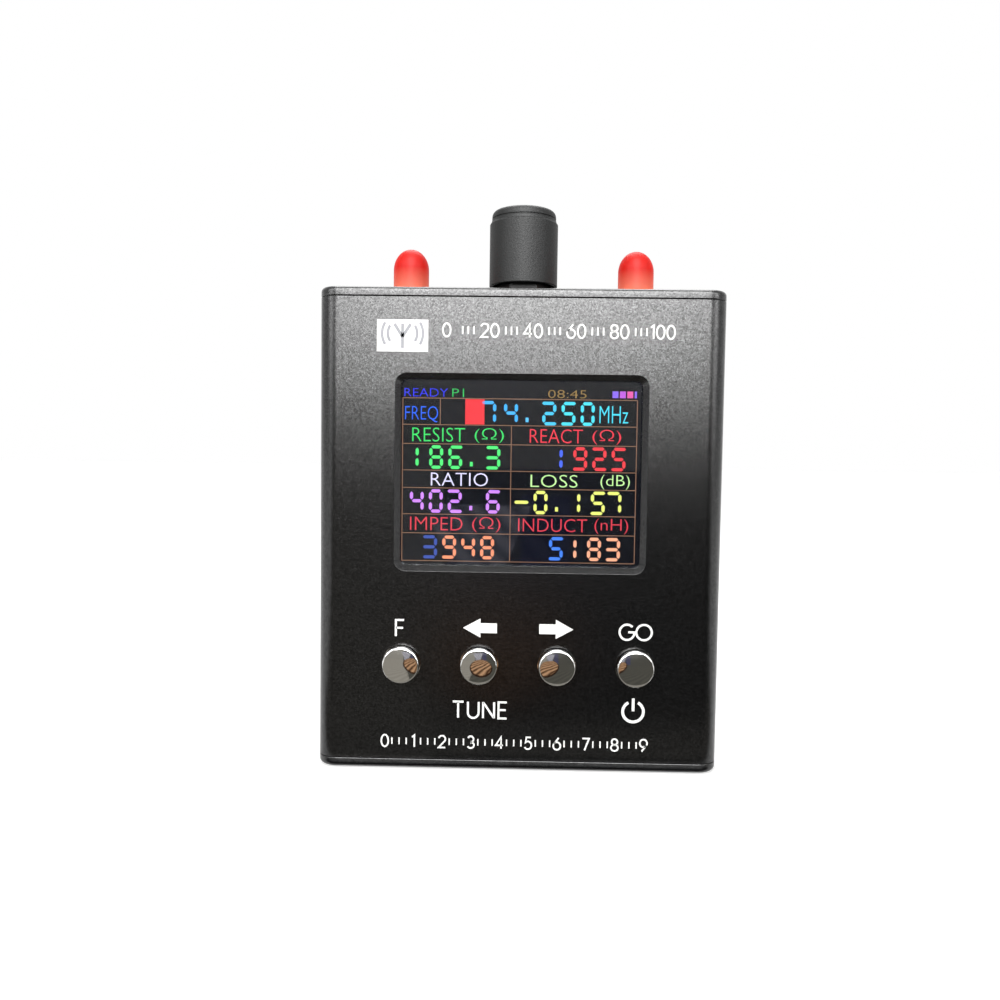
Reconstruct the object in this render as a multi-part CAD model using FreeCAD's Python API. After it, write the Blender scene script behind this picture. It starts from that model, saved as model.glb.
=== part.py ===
import FreeCAD, Part
import math
import os

# Hand-held RF antenna analyzer, in millimetres.
# +X runs to the user's right, the front face looks along -Y, and +Z runs up from the
# bottom end plate to the tuning knob. The origin is the middle of the bottom end
# plate's outer face, which the instrument stands on.

# ---- Driving dimensions: case ----
case_width = 84.0
case_depth = 28.0
case_height = 100.0            # over both end plates
corner_radius = 4.0            # the four long edges of the extrusion
shell_wall = 2.0
end_plate_thickness = 2.0
end_plate_edge_radius = 1.0
seam_gap = 0.12                # between an end plate and the shells
lap_depth = 1.4                # how far the front shell's tongue enters the back shell
lap_clearance = 0.1
parting_bevel = 0.25           # groove along the sides where the shells meet

# ---- Driving dimensions: end plate screws (M2.5, countersunk) ----
screw_inset = 4.0              # axes, in from the case's outer faces
screw_shank_radius = 1.22
screw_head_radius = 2.3
screw_head_height = 1.3
screw_length = 8.0
screw_clearance = 0.08
screw_boss_radius = 2.4
cross_recess_length = 2.6
cross_recess_width = 0.55
cross_recess_depth = 0.9

# ---- Driving dimensions: display ----
window_width = 49.8
window_height = 38.6
window_corner_radius = 1.3
window_chamfer = 1.15
window_center_z = 62.0
lens_margin = 2.6              # lens past the window, on every side
lens_thickness = 0.6
tape_thickness = 0.1
tape_width = 2.2
lcd_width = 60.3
lcd_height = 42.7
lcd_glass_thickness = 1.4
lcd_ledge = 3.4                # strip of bare lower glass that carries the ribbon
lcd_shift_x = 2.4              # the panel's outline is off the window's centre
lcd_center_z = 61.55
backlight_thickness = 1.3
backlight_corner_radius = 0.5
foam_thickness = 1.2
foam_width = 8.0
ribbon_width = 22.0
ribbon_thickness = 0.2
ribbon_land = 2.2              # length soldered to the board
ribbon_standoff = 0.6          # from the panel's end to the ribbon's bend
display_clearance = 0.5        # round the display, in the shell's bosses and rails

# ---- Driving dimensions: main board ----
board_thickness = 1.6
board_side_gap = 0.25
board_end_gap = 0.3
board_rail_width = 1.7
board_rail_thickness = 1.0
board_rail_gap = 0.06
board_notch_width = 17.0       # leaves room for the encoder
board_notch_depth = 9.0

# ---- Driving dimensions: push buttons and their switches ----
button_pitch = 16.2
button_row_z = 22.1
button_radius = 3.85
button_protrusion = 2.1
button_edge_bevel = 0.3
button_dome = 0.5
button_clearance = 0.15
button_flange_radius = 4.7
button_flange_thickness = 0.8
button_flange_gap = 0.1        # behind the front wall
button_travel = 0.3
switch_width = 6.0
switch_body_height = 2.8
switch_cover_thickness = 0.2
plunger_radius = 1.7
plunger_clearance = 0.12
plunger_engagement = 1.0       # length inside the switch body
plunger_end_gap = 0.2          # left under the plunger at full travel

# ---- Driving dimensions: tuning knob and rotary encoder ----
knob_radius = 7.4
knob_height = 16.25
knob_lift = 2.4                # rim above the top end plate
knob_step_height = 2.65        # narrower band at the top
knob_step = 0.4
knob_edge_radius = 1.3
knob_recess_radius = 6.7
knob_recess_depth = 2.6
knob_roof = 2.4                # solid above the shaft's end
knob_travel = 0.5
shaft_end_gap = 0.1            # left over the push dome at full travel
shaft_radius = 3.0
shaft_flat = 1.5               # D flat, in from the shaft's side
shaft_tail_radius = 2.5
tail_flat = 0.8                # flat that turns the rotor
shaft_clearance = 0.05
encoder_width = 12.0
encoder_height = 6.5
encoder_base_thickness = 1.5
encoder_roof = 1.8
rotor_radius = 5.0
rotor_gap = 0.3
dome_radius = 2.2
dome_height = 0.7
dome_pocket_depth = 1.0
bushing_radius = 3.5
bushing_length = 5.4           # above the encoder's case
encoder_washer_radius = 5.7
encoder_washer_thickness = 0.5
encoder_nut_flats = 10.0
encoder_nut_thickness = 2.3
thread_clearance = 0.06
panel_hole_clearance = 0.1
pin_count = 5
pin_pitch = 2.4
pin_width = 0.8
pin_thickness = 0.3
pin_length = 2.8
lead_radius = 0.5
lead_length = 4.2

# ---- Driving dimensions: SMA jacks and their dust caps ----
jack_offset = 24.5             # each side of the middle
jack_thread_radius = 3.175
jack_height = 7.2              # above the top end plate
jack_flange_flats = 8.0
jack_flange_thickness = 2.0
jack_barrel_radius = 2.3
jack_barrel_length = 4.0
jack_mouth_radius = 2.3
jack_mouth_depth = 1.9
jack_insulator_radius = 2.05
contact_radius = 0.635
contact_hole_radius = 0.47
contact_hole_depth = 2.6
contact_setback = 0.4          # below the jack's end
contact_tail = 1.2
jack_washer_radius = 4.7
jack_washer_thickness = 0.3
jack_nut_flats = 8.0
jack_nut_thickness = 1.2       # a thin panel nut
cap_radius = 3.85
cap_base_gap = 0.1             # above the nut
cap_height = 8.7
cap_dome_height = 4.5
cap_fit_clearance = 0.08
cap_end_clearance = 0.2
cap_inner_dome = 1.6

# ---- Driving dimensions: what sits on the board's back ----
coax_radius = 0.7
coax_plug_radius = 1.5
coax_plug_height = 1.9
coax_plug_z = 78.0
shield_width = 36.0
shield_height = 26.0
shield_depth = 3.2
shield_wall = 0.3
shield_center_z = 57.0
usb_width = 7.5
usb_height = 2.9
usb_length = 5.2
usb_wall = 0.3
usb_outer_radius = 0.6         # of the socket's corners
usb_inner_radius = 0.4
usb_mouth_z = 0.6
usb_tongue_width = 4.0
usb_tongue_thickness = 0.8
usb_tongue_length = 3.6
usb_block_length = 0.8
usb_slot_margin = 0.7
usb_slot_radius = 1.2
led_x = 12.0
led_width = 2.2
led_height = 1.2
led_hole_radius = 0.9
chip_column_inset = 11.75      # from the board's side to a column of chips
processor_width = 10.0
processor_thickness = 1.4
processor_rise = 35.7          # above the board's lower edge, as are the rises below
memory_width = 5.2
memory_thickness = 1.6
memory_rise = 53.7
crystal_width = 11.0
crystal_height = 4.6
crystal_thickness = 3.4
crystal_rise = 22.7
charger_width = 4.0
charger_thickness = 0.9
charger_x = 9.0
charger_rise = 9.7
regulator_width = 6.5
regulator_height = 3.6
regulator_thickness = 1.6
regulator_x = 22.0
regulator_rise = 11.7
radio_chip_thickness = 0.9     # all three chips under the can
synthesizer_width = 5.0
synthesizer_x = -9.0
mixer_width = 5.0
mixer_x = 2.0
mixer_rise = 4.0               # above the can's middle
detector_width = 4.0
detector_x = 11.0
detector_drop = 3.0            # below the can's middle
reference_width = 3.2
reference_height = 5.0
reference_thickness = 1.1

# ---- Driving dimensions: battery ----
battery_width = 50.0
battery_height = 60.0
battery_thickness = 6.0
battery_edge_radius = 1.6
battery_lead_rise = 6.0        # the cell hangs this far under its header
header_z = 81.0
battery_tape_thickness = 0.5
header_width = 7.9
header_height = 4.5
header_depth = 6.0
header_wall = 0.9
header_floor = 1.0
plug_clearance = 0.08
plug_stand_out = 1.8           # past the header's mouth
battery_lead_radius = 0.6
battery_lead_spacing = 2.0

# ---- Places worked out from them ----
front_y = -case_depth / 2
front_inner_y = front_y + shell_wall
back_y = case_depth / 2
back_inner_y = back_y - shell_wall
side_x = case_width / 2
side_inner_x = side_x - shell_wall
shell_bottom_z = end_plate_thickness + seam_gap
shell_top_z = case_height - end_plate_thickness - seam_gap
plate_under_z = case_height - end_plate_thickness
lens_front_y = front_inner_y + tape_thickness
glass_front_y = lens_front_y + lens_thickness
backlight_front_y = glass_front_y + lcd_glass_thickness
foam_front_y = backlight_front_y + backlight_thickness
board_front_y = foam_front_y + foam_thickness
lcd_left_x = lcd_shift_x - lcd_width / 2
lcd_right_x = lcd_shift_x + lcd_width / 2
lcd_low_z = lcd_center_z - lcd_height / 2
lcd_high_z = lcd_center_z + lcd_height / 2
ribbon_low_z = lcd_center_z - ribbon_width / 2
ribbon_high_z = lcd_center_z + ribbon_width / 2
ribbon_bend_x = lcd_right_x + ribbon_standoff
ribbon_outer_x = ribbon_bend_x + ribbon_thickness
board_back_y = board_front_y + board_thickness
board_side_x = side_inner_x - board_side_gap
board_bottom_z = end_plate_thickness + board_end_gap
board_top_z = plate_under_z - board_end_gap
screw_x = side_x - screw_inset
screw_y = back_y - screw_inset
flange_front_y = front_inner_y + button_flange_gap
flange_back_y = flange_front_y + button_flange_thickness
switch_cover_y = board_front_y - switch_body_height
button_places = {
    "mode": -1.5 * button_pitch,
    "left": -0.5 * button_pitch,
    "right": 0.5 * button_pitch,
    "ok": 1.5 * button_pitch,
}
jack_places = {"left": -jack_offset, "right": jack_offset}
washer_top_z = case_height + jack_washer_thickness
jack_nut_top_z = washer_top_z + jack_nut_thickness
jack_top_z = case_height + jack_height
cap_bottom_z = jack_nut_top_z + cap_base_gap
knob_bottom_z = case_height + knob_lift
knob_top_z = knob_bottom_z + knob_height
shaft_top_z = knob_top_z - knob_roof
encoder_bottom_z = plate_under_z - encoder_height
encoder_cavity_z = encoder_bottom_z + encoder_base_thickness
encoder_roof_z = plate_under_z - encoder_roof
shaft_bottom_z = encoder_cavity_z - dome_pocket_depth + dome_height + knob_travel + shaft_end_gap
usb_y = board_back_y + usb_height / 2
battery_back_y = back_inner_y - battery_tape_thickness
battery_front_y = battery_back_y - battery_thickness
battery_top_z = header_z - battery_lead_rise
battery_bottom_z = battery_top_z - battery_height
chip_column_x = board_side_x - chip_column_inset

V = FreeCAD.Vector
nodes = {}


# ---- Shape helpers ----
def box(x0, x1, y0, y1, z0, z1):
    """A block between two corners."""
    return Part.makeBox(x1 - x0, y1 - y0, z1 - z0, V(x0, y0, z0))


def post(radius, z0, z1, x=0.0, y=0.0):
    """A cylinder along Z."""
    return Part.makeCylinder(radius, z1 - z0, V(x, y, z0))


def peg(radius, y0, y1, x, z):
    """A cylinder along Y."""
    return Part.makeCylinder(radius, y1 - y0, V(x, y0, z), V(0, 1, 0))


def edges_along(shape, axis):
    """The straight edges of a shape that run along one axis."""
    found = []
    for edge in shape.Edges:
        ends = edge.Vertexes
        if len(ends) == 2:
            run = ends[1].Point - ends[0].Point
            if run.Length > 0 and abs(run.normalize().dot(axis)) > 0.999:
                found.append(edge)
    return found


def rounded_block(x0, x1, y0, y1, z0, z1, radius, axis):
    """A block whose four edges along one axis are rounded."""
    block = box(x0, x1, y0, y1, z0, z1)
    return block.makeFillet(radius, edges_along(block, axis))


def case_prism(inset, radius, z0, z1):
    """The case's rounded outline, drawn in by inset, as a prism."""
    x, y = side_x - inset, back_y - inset
    return rounded_block(-x, x, -y, y, z0, z1, radius, V(0, 0, 1))


def panel(width, height, y0, y1, x, z, radius):
    """A rounded sheet that faces along Y."""
    return rounded_block(x - width / 2, x + width / 2, y0, y1,
                         z - height / 2, z + height / 2, radius, V(0, 1, 0))


def hex_post(flats, z0, z1, x=0.0, y=0.0):
    """A hexagonal prism along Z, measured across its flats."""
    corner = flats / math.sqrt(3)
    points = [V(x + corner * math.cos(math.radians(60 * i)),
                y + corner * math.sin(math.radians(60 * i)), z0) for i in range(7)]
    return Part.Face(Part.makePolygon(points)).extrude(V(0, 0, z1 - z0))


def spin(outline, x, y):
    """Turn a closed outline of (radius, z) edges about a vertical axis."""
    solid = Part.Face(Part.Wire(outline)).revolve(V(0, 0, 0), V(0, 0, 1), 360)
    solid.translate(V(x, y, 0))
    return solid


def line(r0, z0, r1, z1):
    """A straight edge of an outline for spin()."""
    return Part.makeLine(V(r0, 0, z0), V(r1, 0, z1))


def dome_edge(radius, z0, height):
    """A quarter ellipse from (radius, z0) to (0, z0 + height), as a spline, for spin()."""
    if height > radius:
        ellipse = Part.Ellipse(V(0, 0, z0 + height), V(radius, 0, z0), V(0, 0, z0))
    else:
        ellipse = Part.Ellipse(V(radius, 0, z0), V(0, 0, z0 + height), V(0, 0, z0))
    start = ellipse.parameter(V(radius, 0, z0))
    end = ellipse.parameter(V(0, 0, z0 + height))
    low, high = sorted((start, end))
    if high - low > math.pi:
        low, high = high, low + 2 * math.pi
    return ellipse.toBSpline(low, high).toShape()


def wire_run(points, radius):
    """A round lead: straight runs joined by tangent arcs, with its bend radii."""
    edges, radii, start = [], [], points[0]
    for before, corner, after in zip(points, points[1:], points[2:]):
        back, ahead = before - corner, after - corner
        shorter = min(back.Length, ahead.Length)
        back.normalize()
        ahead.normalize()
        half_turn = (math.pi - back.getAngle(ahead)) / 2
        reach = 0.45 * shorter
        bend = reach / math.tan(half_turn)
        middle = (back + ahead).normalize()
        center = corner + middle * math.hypot(reach, bend)
        arc_in, arc_out = corner + back * reach, corner + ahead * reach
        edges.append(Part.makeLine(start, arc_in))
        edges.append(Part.Arc(arc_in, center - middle * bend, arc_out).toShape())
        radii.append(round(bend, 2))
        start = arc_out
    edges.append(Part.makeLine(start, points[-1]))
    path = Part.Wire(edges)
    ring = Part.Wire(Part.makeCircle(radius, points[0], points[1] - points[0]))
    return path.makePipeShell([ring], True, True), radii


def keep(name, *solids):
    """File one or more separate solids under a node's name."""
    nodes[name] = solids[0] if len(solids) == 1 else Part.makeCompound(list(solids))


# ---- Case shells ----
def half_shell(front):
    """One half of the extruded case: a channel with two screw bosses along it."""
    side = -1 if front else 1
    span = (shell_bottom_z, shell_top_z)
    outer = case_prism(0, corner_radius, *span)
    inner = case_prism(shell_wall, corner_radius - shell_wall, *span)
    half = box(-side_x, side_x, min(0, side * back_y), max(0, side * back_y), *span)
    shell = outer.cut(inner).common(half)
    bevelled = [edge for edge in edges_along(shell, V(0, 0, 1))
                if abs(edge.Vertexes[0].Y) < 1e-6 and abs(edge.Vertexes[0].X) > side_x - 1e-6]
    shell = shell.makeChamfer(parting_bevel, bevelled)
    for x in (-screw_x, screw_x):
        boss = post(screw_boss_radius, *span, x, side * screw_y)
        shell = shell.fuse(boss.common(outer))
    return shell.removeSplitter()


def bored(shell, side):
    """Run the screw channels through a shell's bosses."""
    for x in (-screw_x, screw_x):
        shell = shell.cut(post(screw_shank_radius + screw_clearance,
                               shell_bottom_z, shell_top_z, x, side * screw_y))
    return shell


def display_room():
    """What the shell's bosses and rails leave free for the panel and its ribbon."""
    gap = display_clearance
    panel_room = box(lcd_left_x - gap, ribbon_outer_x + gap, glass_front_y - gap, board_front_y,
                     lcd_low_z - gap, lcd_high_z + gap)
    land_room = box(ribbon_bend_x, ribbon_outer_x + ribbon_land + gap,
                    board_front_y - ribbon_thickness - gap, board_front_y,
                    ribbon_low_z - gap, ribbon_high_z + gap)
    return [panel_room, land_room]


def front_shell():
    """Front channel: display window, button holes, board rails and lap tongue."""
    shell = half_shell(front=True)
    tongue_thickness = shell_wall / 2 - lap_clearance
    rail_x = side_inner_x - board_rail_width
    rail_front = board_front_y - board_rail_gap
    rail_back = board_back_y + board_rail_gap
    for side in (-1, 1):
        tongue_x = sorted((side * side_inner_x, side * (side_inner_x + tongue_thickness)))
        rail = sorted((side * rail_x, side * (side_inner_x + tongue_thickness)))
        tongue = box(*tongue_x, -lap_depth, lap_depth, shell_bottom_z, shell_top_z)
        front_rail = box(*rail, rail_front - board_rail_thickness, rail_front,
                         shell_bottom_z, shell_top_z)
        back_rail = box(*rail, rail_back, rail_back + board_rail_thickness,
                        shell_bottom_z, shell_top_z)
        shell = shell.fuse([tongue, front_rail, back_rail])
    shell = bored(shell.removeSplitter(), -1).cut(display_room())
    opening = panel(window_width, window_height, front_y, front_inner_y,
                    0, window_center_z, window_corner_radius)
    shell = shell.cut(opening)
    reach_x, reach_z = window_width / 2 + 0.01, window_height / 2 + 0.01
    rim = [edge for edge in shell.Edges
           if abs(edge.BoundBox.YMin - front_y) < 1e-6 and abs(edge.BoundBox.YMax - front_y) < 1e-6
           and abs(edge.CenterOfMass.x) < reach_x
           and abs(edge.CenterOfMass.z - window_center_z) < reach_z]
    shell = shell.makeChamfer(window_chamfer, rim)
    for x in button_places.values():
        shell = shell.cut(peg(button_radius + button_clearance, front_y, front_inner_y,
                              x, button_row_z))
    return shell


def back_shell():
    """Back channel, rebated to take the front shell's tongue."""
    shell = bored(half_shell(front=False), 1)
    rebate = shell_wall / 2
    for side in (-1, 1):
        groove_x = sorted((side * side_inner_x, side * (side_inner_x + rebate)))
        shell = shell.cut(box(*groove_x, 0, lap_depth + lap_clearance,
                              shell_bottom_z, shell_top_z))
    return shell


# ---- End plates and their screws ----
def countersunk(z_face, inward, x, y, grow):
    """A countersunk screw's outside, or with grow its hole."""
    head = Part.makeCone(screw_head_radius + grow, screw_shank_radius + grow,
                         screw_head_height, V(x, y, z_face), V(0, 0, inward))
    shank = Part.makeCylinder(screw_shank_radius + grow, screw_length,
                              V(x, y, z_face), V(0, 0, inward))
    return head.fuse(shank).removeSplitter()


def screw_corners():
    """The four screw axes, as (x, y)."""
    return [(x, y) for x in (-screw_x, screw_x) for y in (-screw_y, screw_y)]


def end_plate(z_outer, z_inner):
    """A plate with its outer edge rounded and four countersunk holes."""
    low, high = sorted((z_outer, z_inner))
    plate = case_prism(0, corner_radius, low, high)
    rim = [edge for edge in plate.Edges
           if abs(edge.BoundBox.ZMin - z_outer) < 1e-6 and abs(edge.BoundBox.ZMax - z_outer) < 1e-6]
    plate = plate.makeFillet(end_plate_edge_radius, rim)
    inward = 1 if z_inner > z_outer else -1
    for x, y in screw_corners():
        plate = plate.cut(countersunk(z_outer, inward, x, y, screw_clearance))
    return plate


def plate_screws(z_outer, inward):
    """Four countersunk screws with cross recesses."""
    screws = []
    long, wide = cross_recess_length / 2, cross_recess_width / 2
    z_low, z_high = sorted((z_outer, z_outer + inward * cross_recess_depth))
    for x, y in screw_corners():
        screw = countersunk(z_outer, inward, x, y, 0)
        for dx, dy in ((long, wide), (wide, long)):
            screw = screw.cut(box(x - dx, x + dx, y - dy, y + dy, z_low, z_high))
        screws.append(screw)
    return screws


def top_end_plate():
    """The plate that carries the encoder and both jacks."""
    plate = end_plate(case_height, plate_under_z)
    plate = plate.cut(post(bushing_radius + panel_hole_clearance, plate_under_z, case_height))
    for x in jack_places.values():
        plate = plate.cut(post(jack_thread_radius + panel_hole_clearance,
                               plate_under_z, case_height, x))
    return plate


def bottom_end_plate():
    """The plate with the charging socket's slot and the charge light's hole."""
    plate = end_plate(0, end_plate_thickness)
    x = usb_width / 2 + usb_slot_margin
    y = usb_height / 2 + usb_slot_margin
    slot = rounded_block(-x, x, usb_y - y, usb_y + y, 0, end_plate_thickness,
                         usb_slot_radius, V(0, 0, 1))
    light = post(led_hole_radius, 0, end_plate_thickness, led_x, board_back_y + led_height / 2)
    return plate.cut([slot, light])


# ---- Display ----
def display():
    """Lens, its tape, the panel, backlight, ribbon and foam behind the window."""
    lens_width = window_width + 2 * lens_margin
    lens_height = window_height + 2 * lens_margin
    lens = panel(lens_width, lens_height, lens_front_y, glass_front_y,
                 0, window_center_z, window_corner_radius)
    tape = panel(lens_width, lens_height, front_inner_y, lens_front_y,
                 0, window_center_z, window_corner_radius)
    tape = tape.cut(panel(lens_width - 2 * tape_width, lens_height - 2 * tape_width,
                          front_inner_y, lens_front_y, 0, window_center_z, window_corner_radius))
    ledge_y = glass_front_y + lcd_glass_thickness / 2
    glass = box(lcd_left_x, lcd_right_x, glass_front_y, backlight_front_y, lcd_low_z, lcd_high_z)
    glass = glass.cut(box(lcd_right_x - lcd_ledge, lcd_right_x, glass_front_y, ledge_y,
                          lcd_low_z, lcd_high_z))
    backlight = panel(lcd_width, lcd_height, backlight_front_y, foam_front_y,
                      lcd_shift_x, lcd_center_z, backlight_corner_radius)
    ribbon = box(lcd_right_x - lcd_ledge / 2, ribbon_outer_x, ledge_y - ribbon_thickness, ledge_y,
                 ribbon_low_z, ribbon_high_z)
    drop = box(ribbon_bend_x, ribbon_outer_x, ledge_y - ribbon_thickness, board_front_y,
               ribbon_low_z, ribbon_high_z)
    land = box(ribbon_bend_x, ribbon_outer_x + ribbon_land, board_front_y - ribbon_thickness,
               board_front_y, ribbon_low_z, ribbon_high_z)
    pads = [box(x, x + foam_width, foam_front_y, board_front_y, lcd_low_z, lcd_high_z)
            for x in (lcd_left_x, lcd_right_x - foam_width)]
    keep("window_lens", lens)
    keep("lens_tape", tape)
    keep("lcd_glass", glass)
    keep("lcd_backlight", backlight)
    keep("lcd_ribbon", ribbon.fuse([drop, land]).removeSplitter())
    keep("lcd_foam_strips", *pads)


# ---- Main board and what is on it ----
def main_board():
    """The circuit board that slides into the front shell's rails."""
    board = box(-board_side_x, board_side_x, board_front_y, board_back_y,
                board_bottom_z, board_top_z)
    notch = box(-board_notch_width / 2, board_notch_width / 2, board_front_y, board_back_y,
                board_top_z - board_notch_depth, board_top_z)
    return board.cut(notch)


def chip(width, height, thickness, x, z):
    """A chip package on the board's back."""
    return box(x - width / 2, x + width / 2, board_back_y, board_back_y + thickness,
               z - height / 2, z + height / 2)


def board_parts():
    """Chips, crystals and the radio section's screening can."""
    keep("board_chips",
         chip(processor_width, processor_width, processor_thickness,
              -chip_column_x, board_bottom_z + processor_rise),
         chip(memory_width, memory_width, memory_thickness,
              -chip_column_x, board_bottom_z + memory_rise),
         chip(charger_width, charger_width, charger_thickness,
              charger_x, board_bottom_z + charger_rise),
         chip(regulator_width, regulator_height, regulator_thickness,
              regulator_x, board_bottom_z + regulator_rise),
         chip(synthesizer_width, synthesizer_width, radio_chip_thickness,
              synthesizer_x, shield_center_z),
         chip(mixer_width, mixer_width, radio_chip_thickness,
              mixer_x, shield_center_z + mixer_rise),
         chip(detector_width, detector_width, radio_chip_thickness,
              detector_x, shield_center_z - detector_drop))
    keep("crystals",
         chip(crystal_width, crystal_height, crystal_thickness,
              -chip_column_x, board_bottom_z + crystal_rise),
         chip(reference_width, reference_height, reference_thickness,
              chip_column_x, shield_center_z))
    z0, z1 = shield_center_z - shield_height / 2, shield_center_z + shield_height / 2
    can = box(-shield_width / 2, shield_width / 2, board_back_y, board_back_y + shield_depth, z0, z1)
    room = box(-shield_width / 2 + shield_wall, shield_width / 2 - shield_wall,
               board_back_y, board_back_y + shield_depth - shield_wall,
               z0 + shield_wall, z1 - shield_wall)
    keep("rf_shield", can.cut(room))


def usb_socket():
    """Charging socket: a steel shell round a moulded tongue."""
    x, y0, y1 = usb_width / 2, board_back_y, board_back_y + usb_height
    top_z = usb_mouth_z + usb_length
    shell = rounded_block(-x, x, y0, y1, usb_mouth_z, top_z,
                          usb_outer_radius, V(0, 0, 1))
    room = rounded_block(-x + usb_wall, x - usb_wall, y0 + usb_wall, y1 - usb_wall,
                         usb_mouth_z, top_z - usb_wall, usb_inner_radius, V(0, 0, 1))
    block_z = top_z - usb_wall - usb_block_length
    block = room.common(box(-x, x, y0, y1, block_z, top_z))
    tongue = box(-usb_tongue_width / 2, usb_tongue_width / 2,
                 usb_y - usb_tongue_thickness / 2, usb_y + usb_tongue_thickness / 2,
                 block_z - usb_tongue_length, block_z)
    keep("usb_shell", shell.cut(room))
    keep("usb_tongue", block.fuse(tongue).removeSplitter())
    keep("charge_led", box(led_x - led_width / 2, led_x + led_width / 2, board_back_y,
                           board_back_y + led_height, board_bottom_z,
                           board_bottom_z + led_height))


# ---- Push buttons ----
def button_cap(x):
    """Plated cap: bevelled rim, shallow crown, and a flange behind the wall."""
    tip_y = front_y - button_protrusion
    rim_y = tip_y + button_dome
    stem = peg(button_radius, rim_y, flange_front_y, x, button_row_z)
    rim = [edge for edge in stem.Edges
           if abs(edge.BoundBox.YMin - rim_y) < 1e-6 and abs(edge.BoundBox.YMax - rim_y) < 1e-6]
    stem = stem.makeChamfer(button_edge_bevel, rim)
    crown_radius = button_radius - button_edge_bevel
    ball_radius = (crown_radius ** 2 + button_dome ** 2) / (2 * button_dome)
    ball = Part.makeSphere(ball_radius, V(x, tip_y + ball_radius, button_row_z))
    crown = ball.common(peg(crown_radius, tip_y - button_dome, rim_y, x, button_row_z))
    flange = peg(button_flange_radius, flange_front_y, flange_back_y, x, button_row_z)
    return stem.fuse([crown, flange]).removeSplitter()


def buttons():
    """Four caps, each pressing the plunger of its own switch."""
    bodies, covers = [], []
    half = switch_width / 2
    inner_end = switch_cover_y + plunger_engagement
    pocket_end = inner_end + button_travel + plunger_end_gap
    bore = plunger_radius + plunger_clearance
    for name, x in button_places.items():
        keep(name + "_button", button_cap(x))
        keep(name + "_plunger", peg(plunger_radius, flange_back_y, inner_end, x, button_row_z))
        z0, z1 = button_row_z - half, button_row_z + half
        body = box(x - half, x + half, switch_cover_y, board_front_y, z0, z1)
        bodies.append(body.cut(peg(bore, switch_cover_y, pocket_end, x, button_row_z)))
        front = switch_cover_y - switch_cover_thickness
        cover = box(x - half, x + half, front, switch_cover_y, z0, z1)
        covers.append(cover.cut(peg(bore, front, switch_cover_y, x, button_row_z)))
    keep("switch_bodies", *bodies)
    keep("switch_covers", *covers)


# ---- Tuning knob and rotary encoder ----
def d_shaft(radius, flat, z0, z1):
    """A shaft with a flat on its front side, or with clearance its bore."""
    return post(radius, z0, z1).common(box(-radius, radius, -radius + flat, radius, z0, z1))


def tuning_knob():
    """Moulded knob: a step near the top, a hollow underside and a D bore."""
    step_z = knob_top_z - knob_step_height
    cap = post(knob_radius - knob_step, step_z, knob_top_z)
    top = [edge for edge in cap.Edges
           if abs(edge.BoundBox.ZMin - knob_top_z) < 1e-6]
    cap = cap.makeFillet(knob_edge_radius, top)
    knob = post(knob_radius, knob_bottom_z, step_z).fuse(cap).removeSplitter()
    recess_z = knob_bottom_z + knob_recess_depth
    knob = knob.cut(post(knob_recess_radius, knob_bottom_z, recess_z))
    return knob.cut(d_shaft(shaft_radius + shaft_clearance, shaft_flat, recess_z, shaft_top_z))


def encoder():
    """Encoder under the top plate, held by its threaded bushing, washer and nut."""
    half = encoder_width / 2
    bushing_top_z = plate_under_z + bushing_length
    housing = box(-half, half, -half, half, encoder_cavity_z, plate_under_z)
    housing = housing.fuse(post(bushing_radius, plate_under_z, bushing_top_z)).removeSplitter()
    housing = housing.cut([post(rotor_radius + rotor_gap, encoder_cavity_z, encoder_roof_z),
                           post(shaft_radius + shaft_clearance, encoder_roof_z, bushing_top_z)])
    pocket_z = encoder_cavity_z - dome_pocket_depth
    base = box(-half, half, -half, half, encoder_bottom_z, encoder_cavity_z)
    base = base.cut(post(shaft_tail_radius + rotor_gap, pocket_z, encoder_cavity_z))
    dome = spin([dome_edge(dome_radius, pocket_z, dome_height),
                 line(0, pocket_z + dome_height, 0, pocket_z),
                 line(0, pocket_z, dome_radius, pocket_z)], 0, 0)
    rotor_z = (encoder_cavity_z + rotor_gap, encoder_roof_z - rotor_gap)
    rotor = post(rotor_radius, *rotor_z)
    rotor = rotor.cut(d_shaft(shaft_tail_radius + shaft_clearance, tail_flat, *rotor_z))
    neck_z = rotor_z[1] + knob_travel + rotor_gap / 2
    flat_z = knob_bottom_z + knob_recess_depth
    shaft = d_shaft(shaft_tail_radius, tail_flat + shaft_clearance, shaft_bottom_z, neck_z)
    shaft = shaft.fuse(post(shaft_radius, neck_z, flat_z))
    flat = shaft_flat + shaft_clearance
    shaft = shaft.fuse(d_shaft(shaft_radius, flat, flat_z, shaft_top_z)).removeSplitter()
    washer_z = case_height + encoder_washer_thickness
    nut_z = washer_z + encoder_nut_thickness
    bore = bushing_radius + thread_clearance
    washer = post(encoder_washer_radius, case_height, washer_z)
    nut = hex_post(encoder_nut_flats, washer_z, nut_z)
    keep("encoder_housing", housing)
    keep("encoder_base", base)
    keep("encoder_push_dome", dome)
    keep("encoder_rotor", rotor)
    keep("encoder_shaft", shaft)
    keep("encoder_washer", washer.cut(post(bore, case_height, washer_z)))
    keep("encoder_nut", nut.cut(post(bore, washer_z, nut_z)))


def encoder_wiring():
    """Five terminals and the short leads that join them to the board."""
    pins, leads = [], []
    y = board_back_y + lead_radius
    pin_end_z = encoder_bottom_z - pin_length
    for i in range(pin_count):
        x = (i - (pin_count - 1) / 2) * pin_pitch
        pins.append(box(x - pin_width / 2, x + pin_width / 2, y - pin_thickness / 2,
                        y + pin_thickness / 2, pin_end_z, encoder_bottom_z))
        leads.append(post(lead_radius, pin_end_z - lead_length, pin_end_z, x, y))
    keep("encoder_pins", *pins)
    keep("encoder_leads", *leads)


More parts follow.
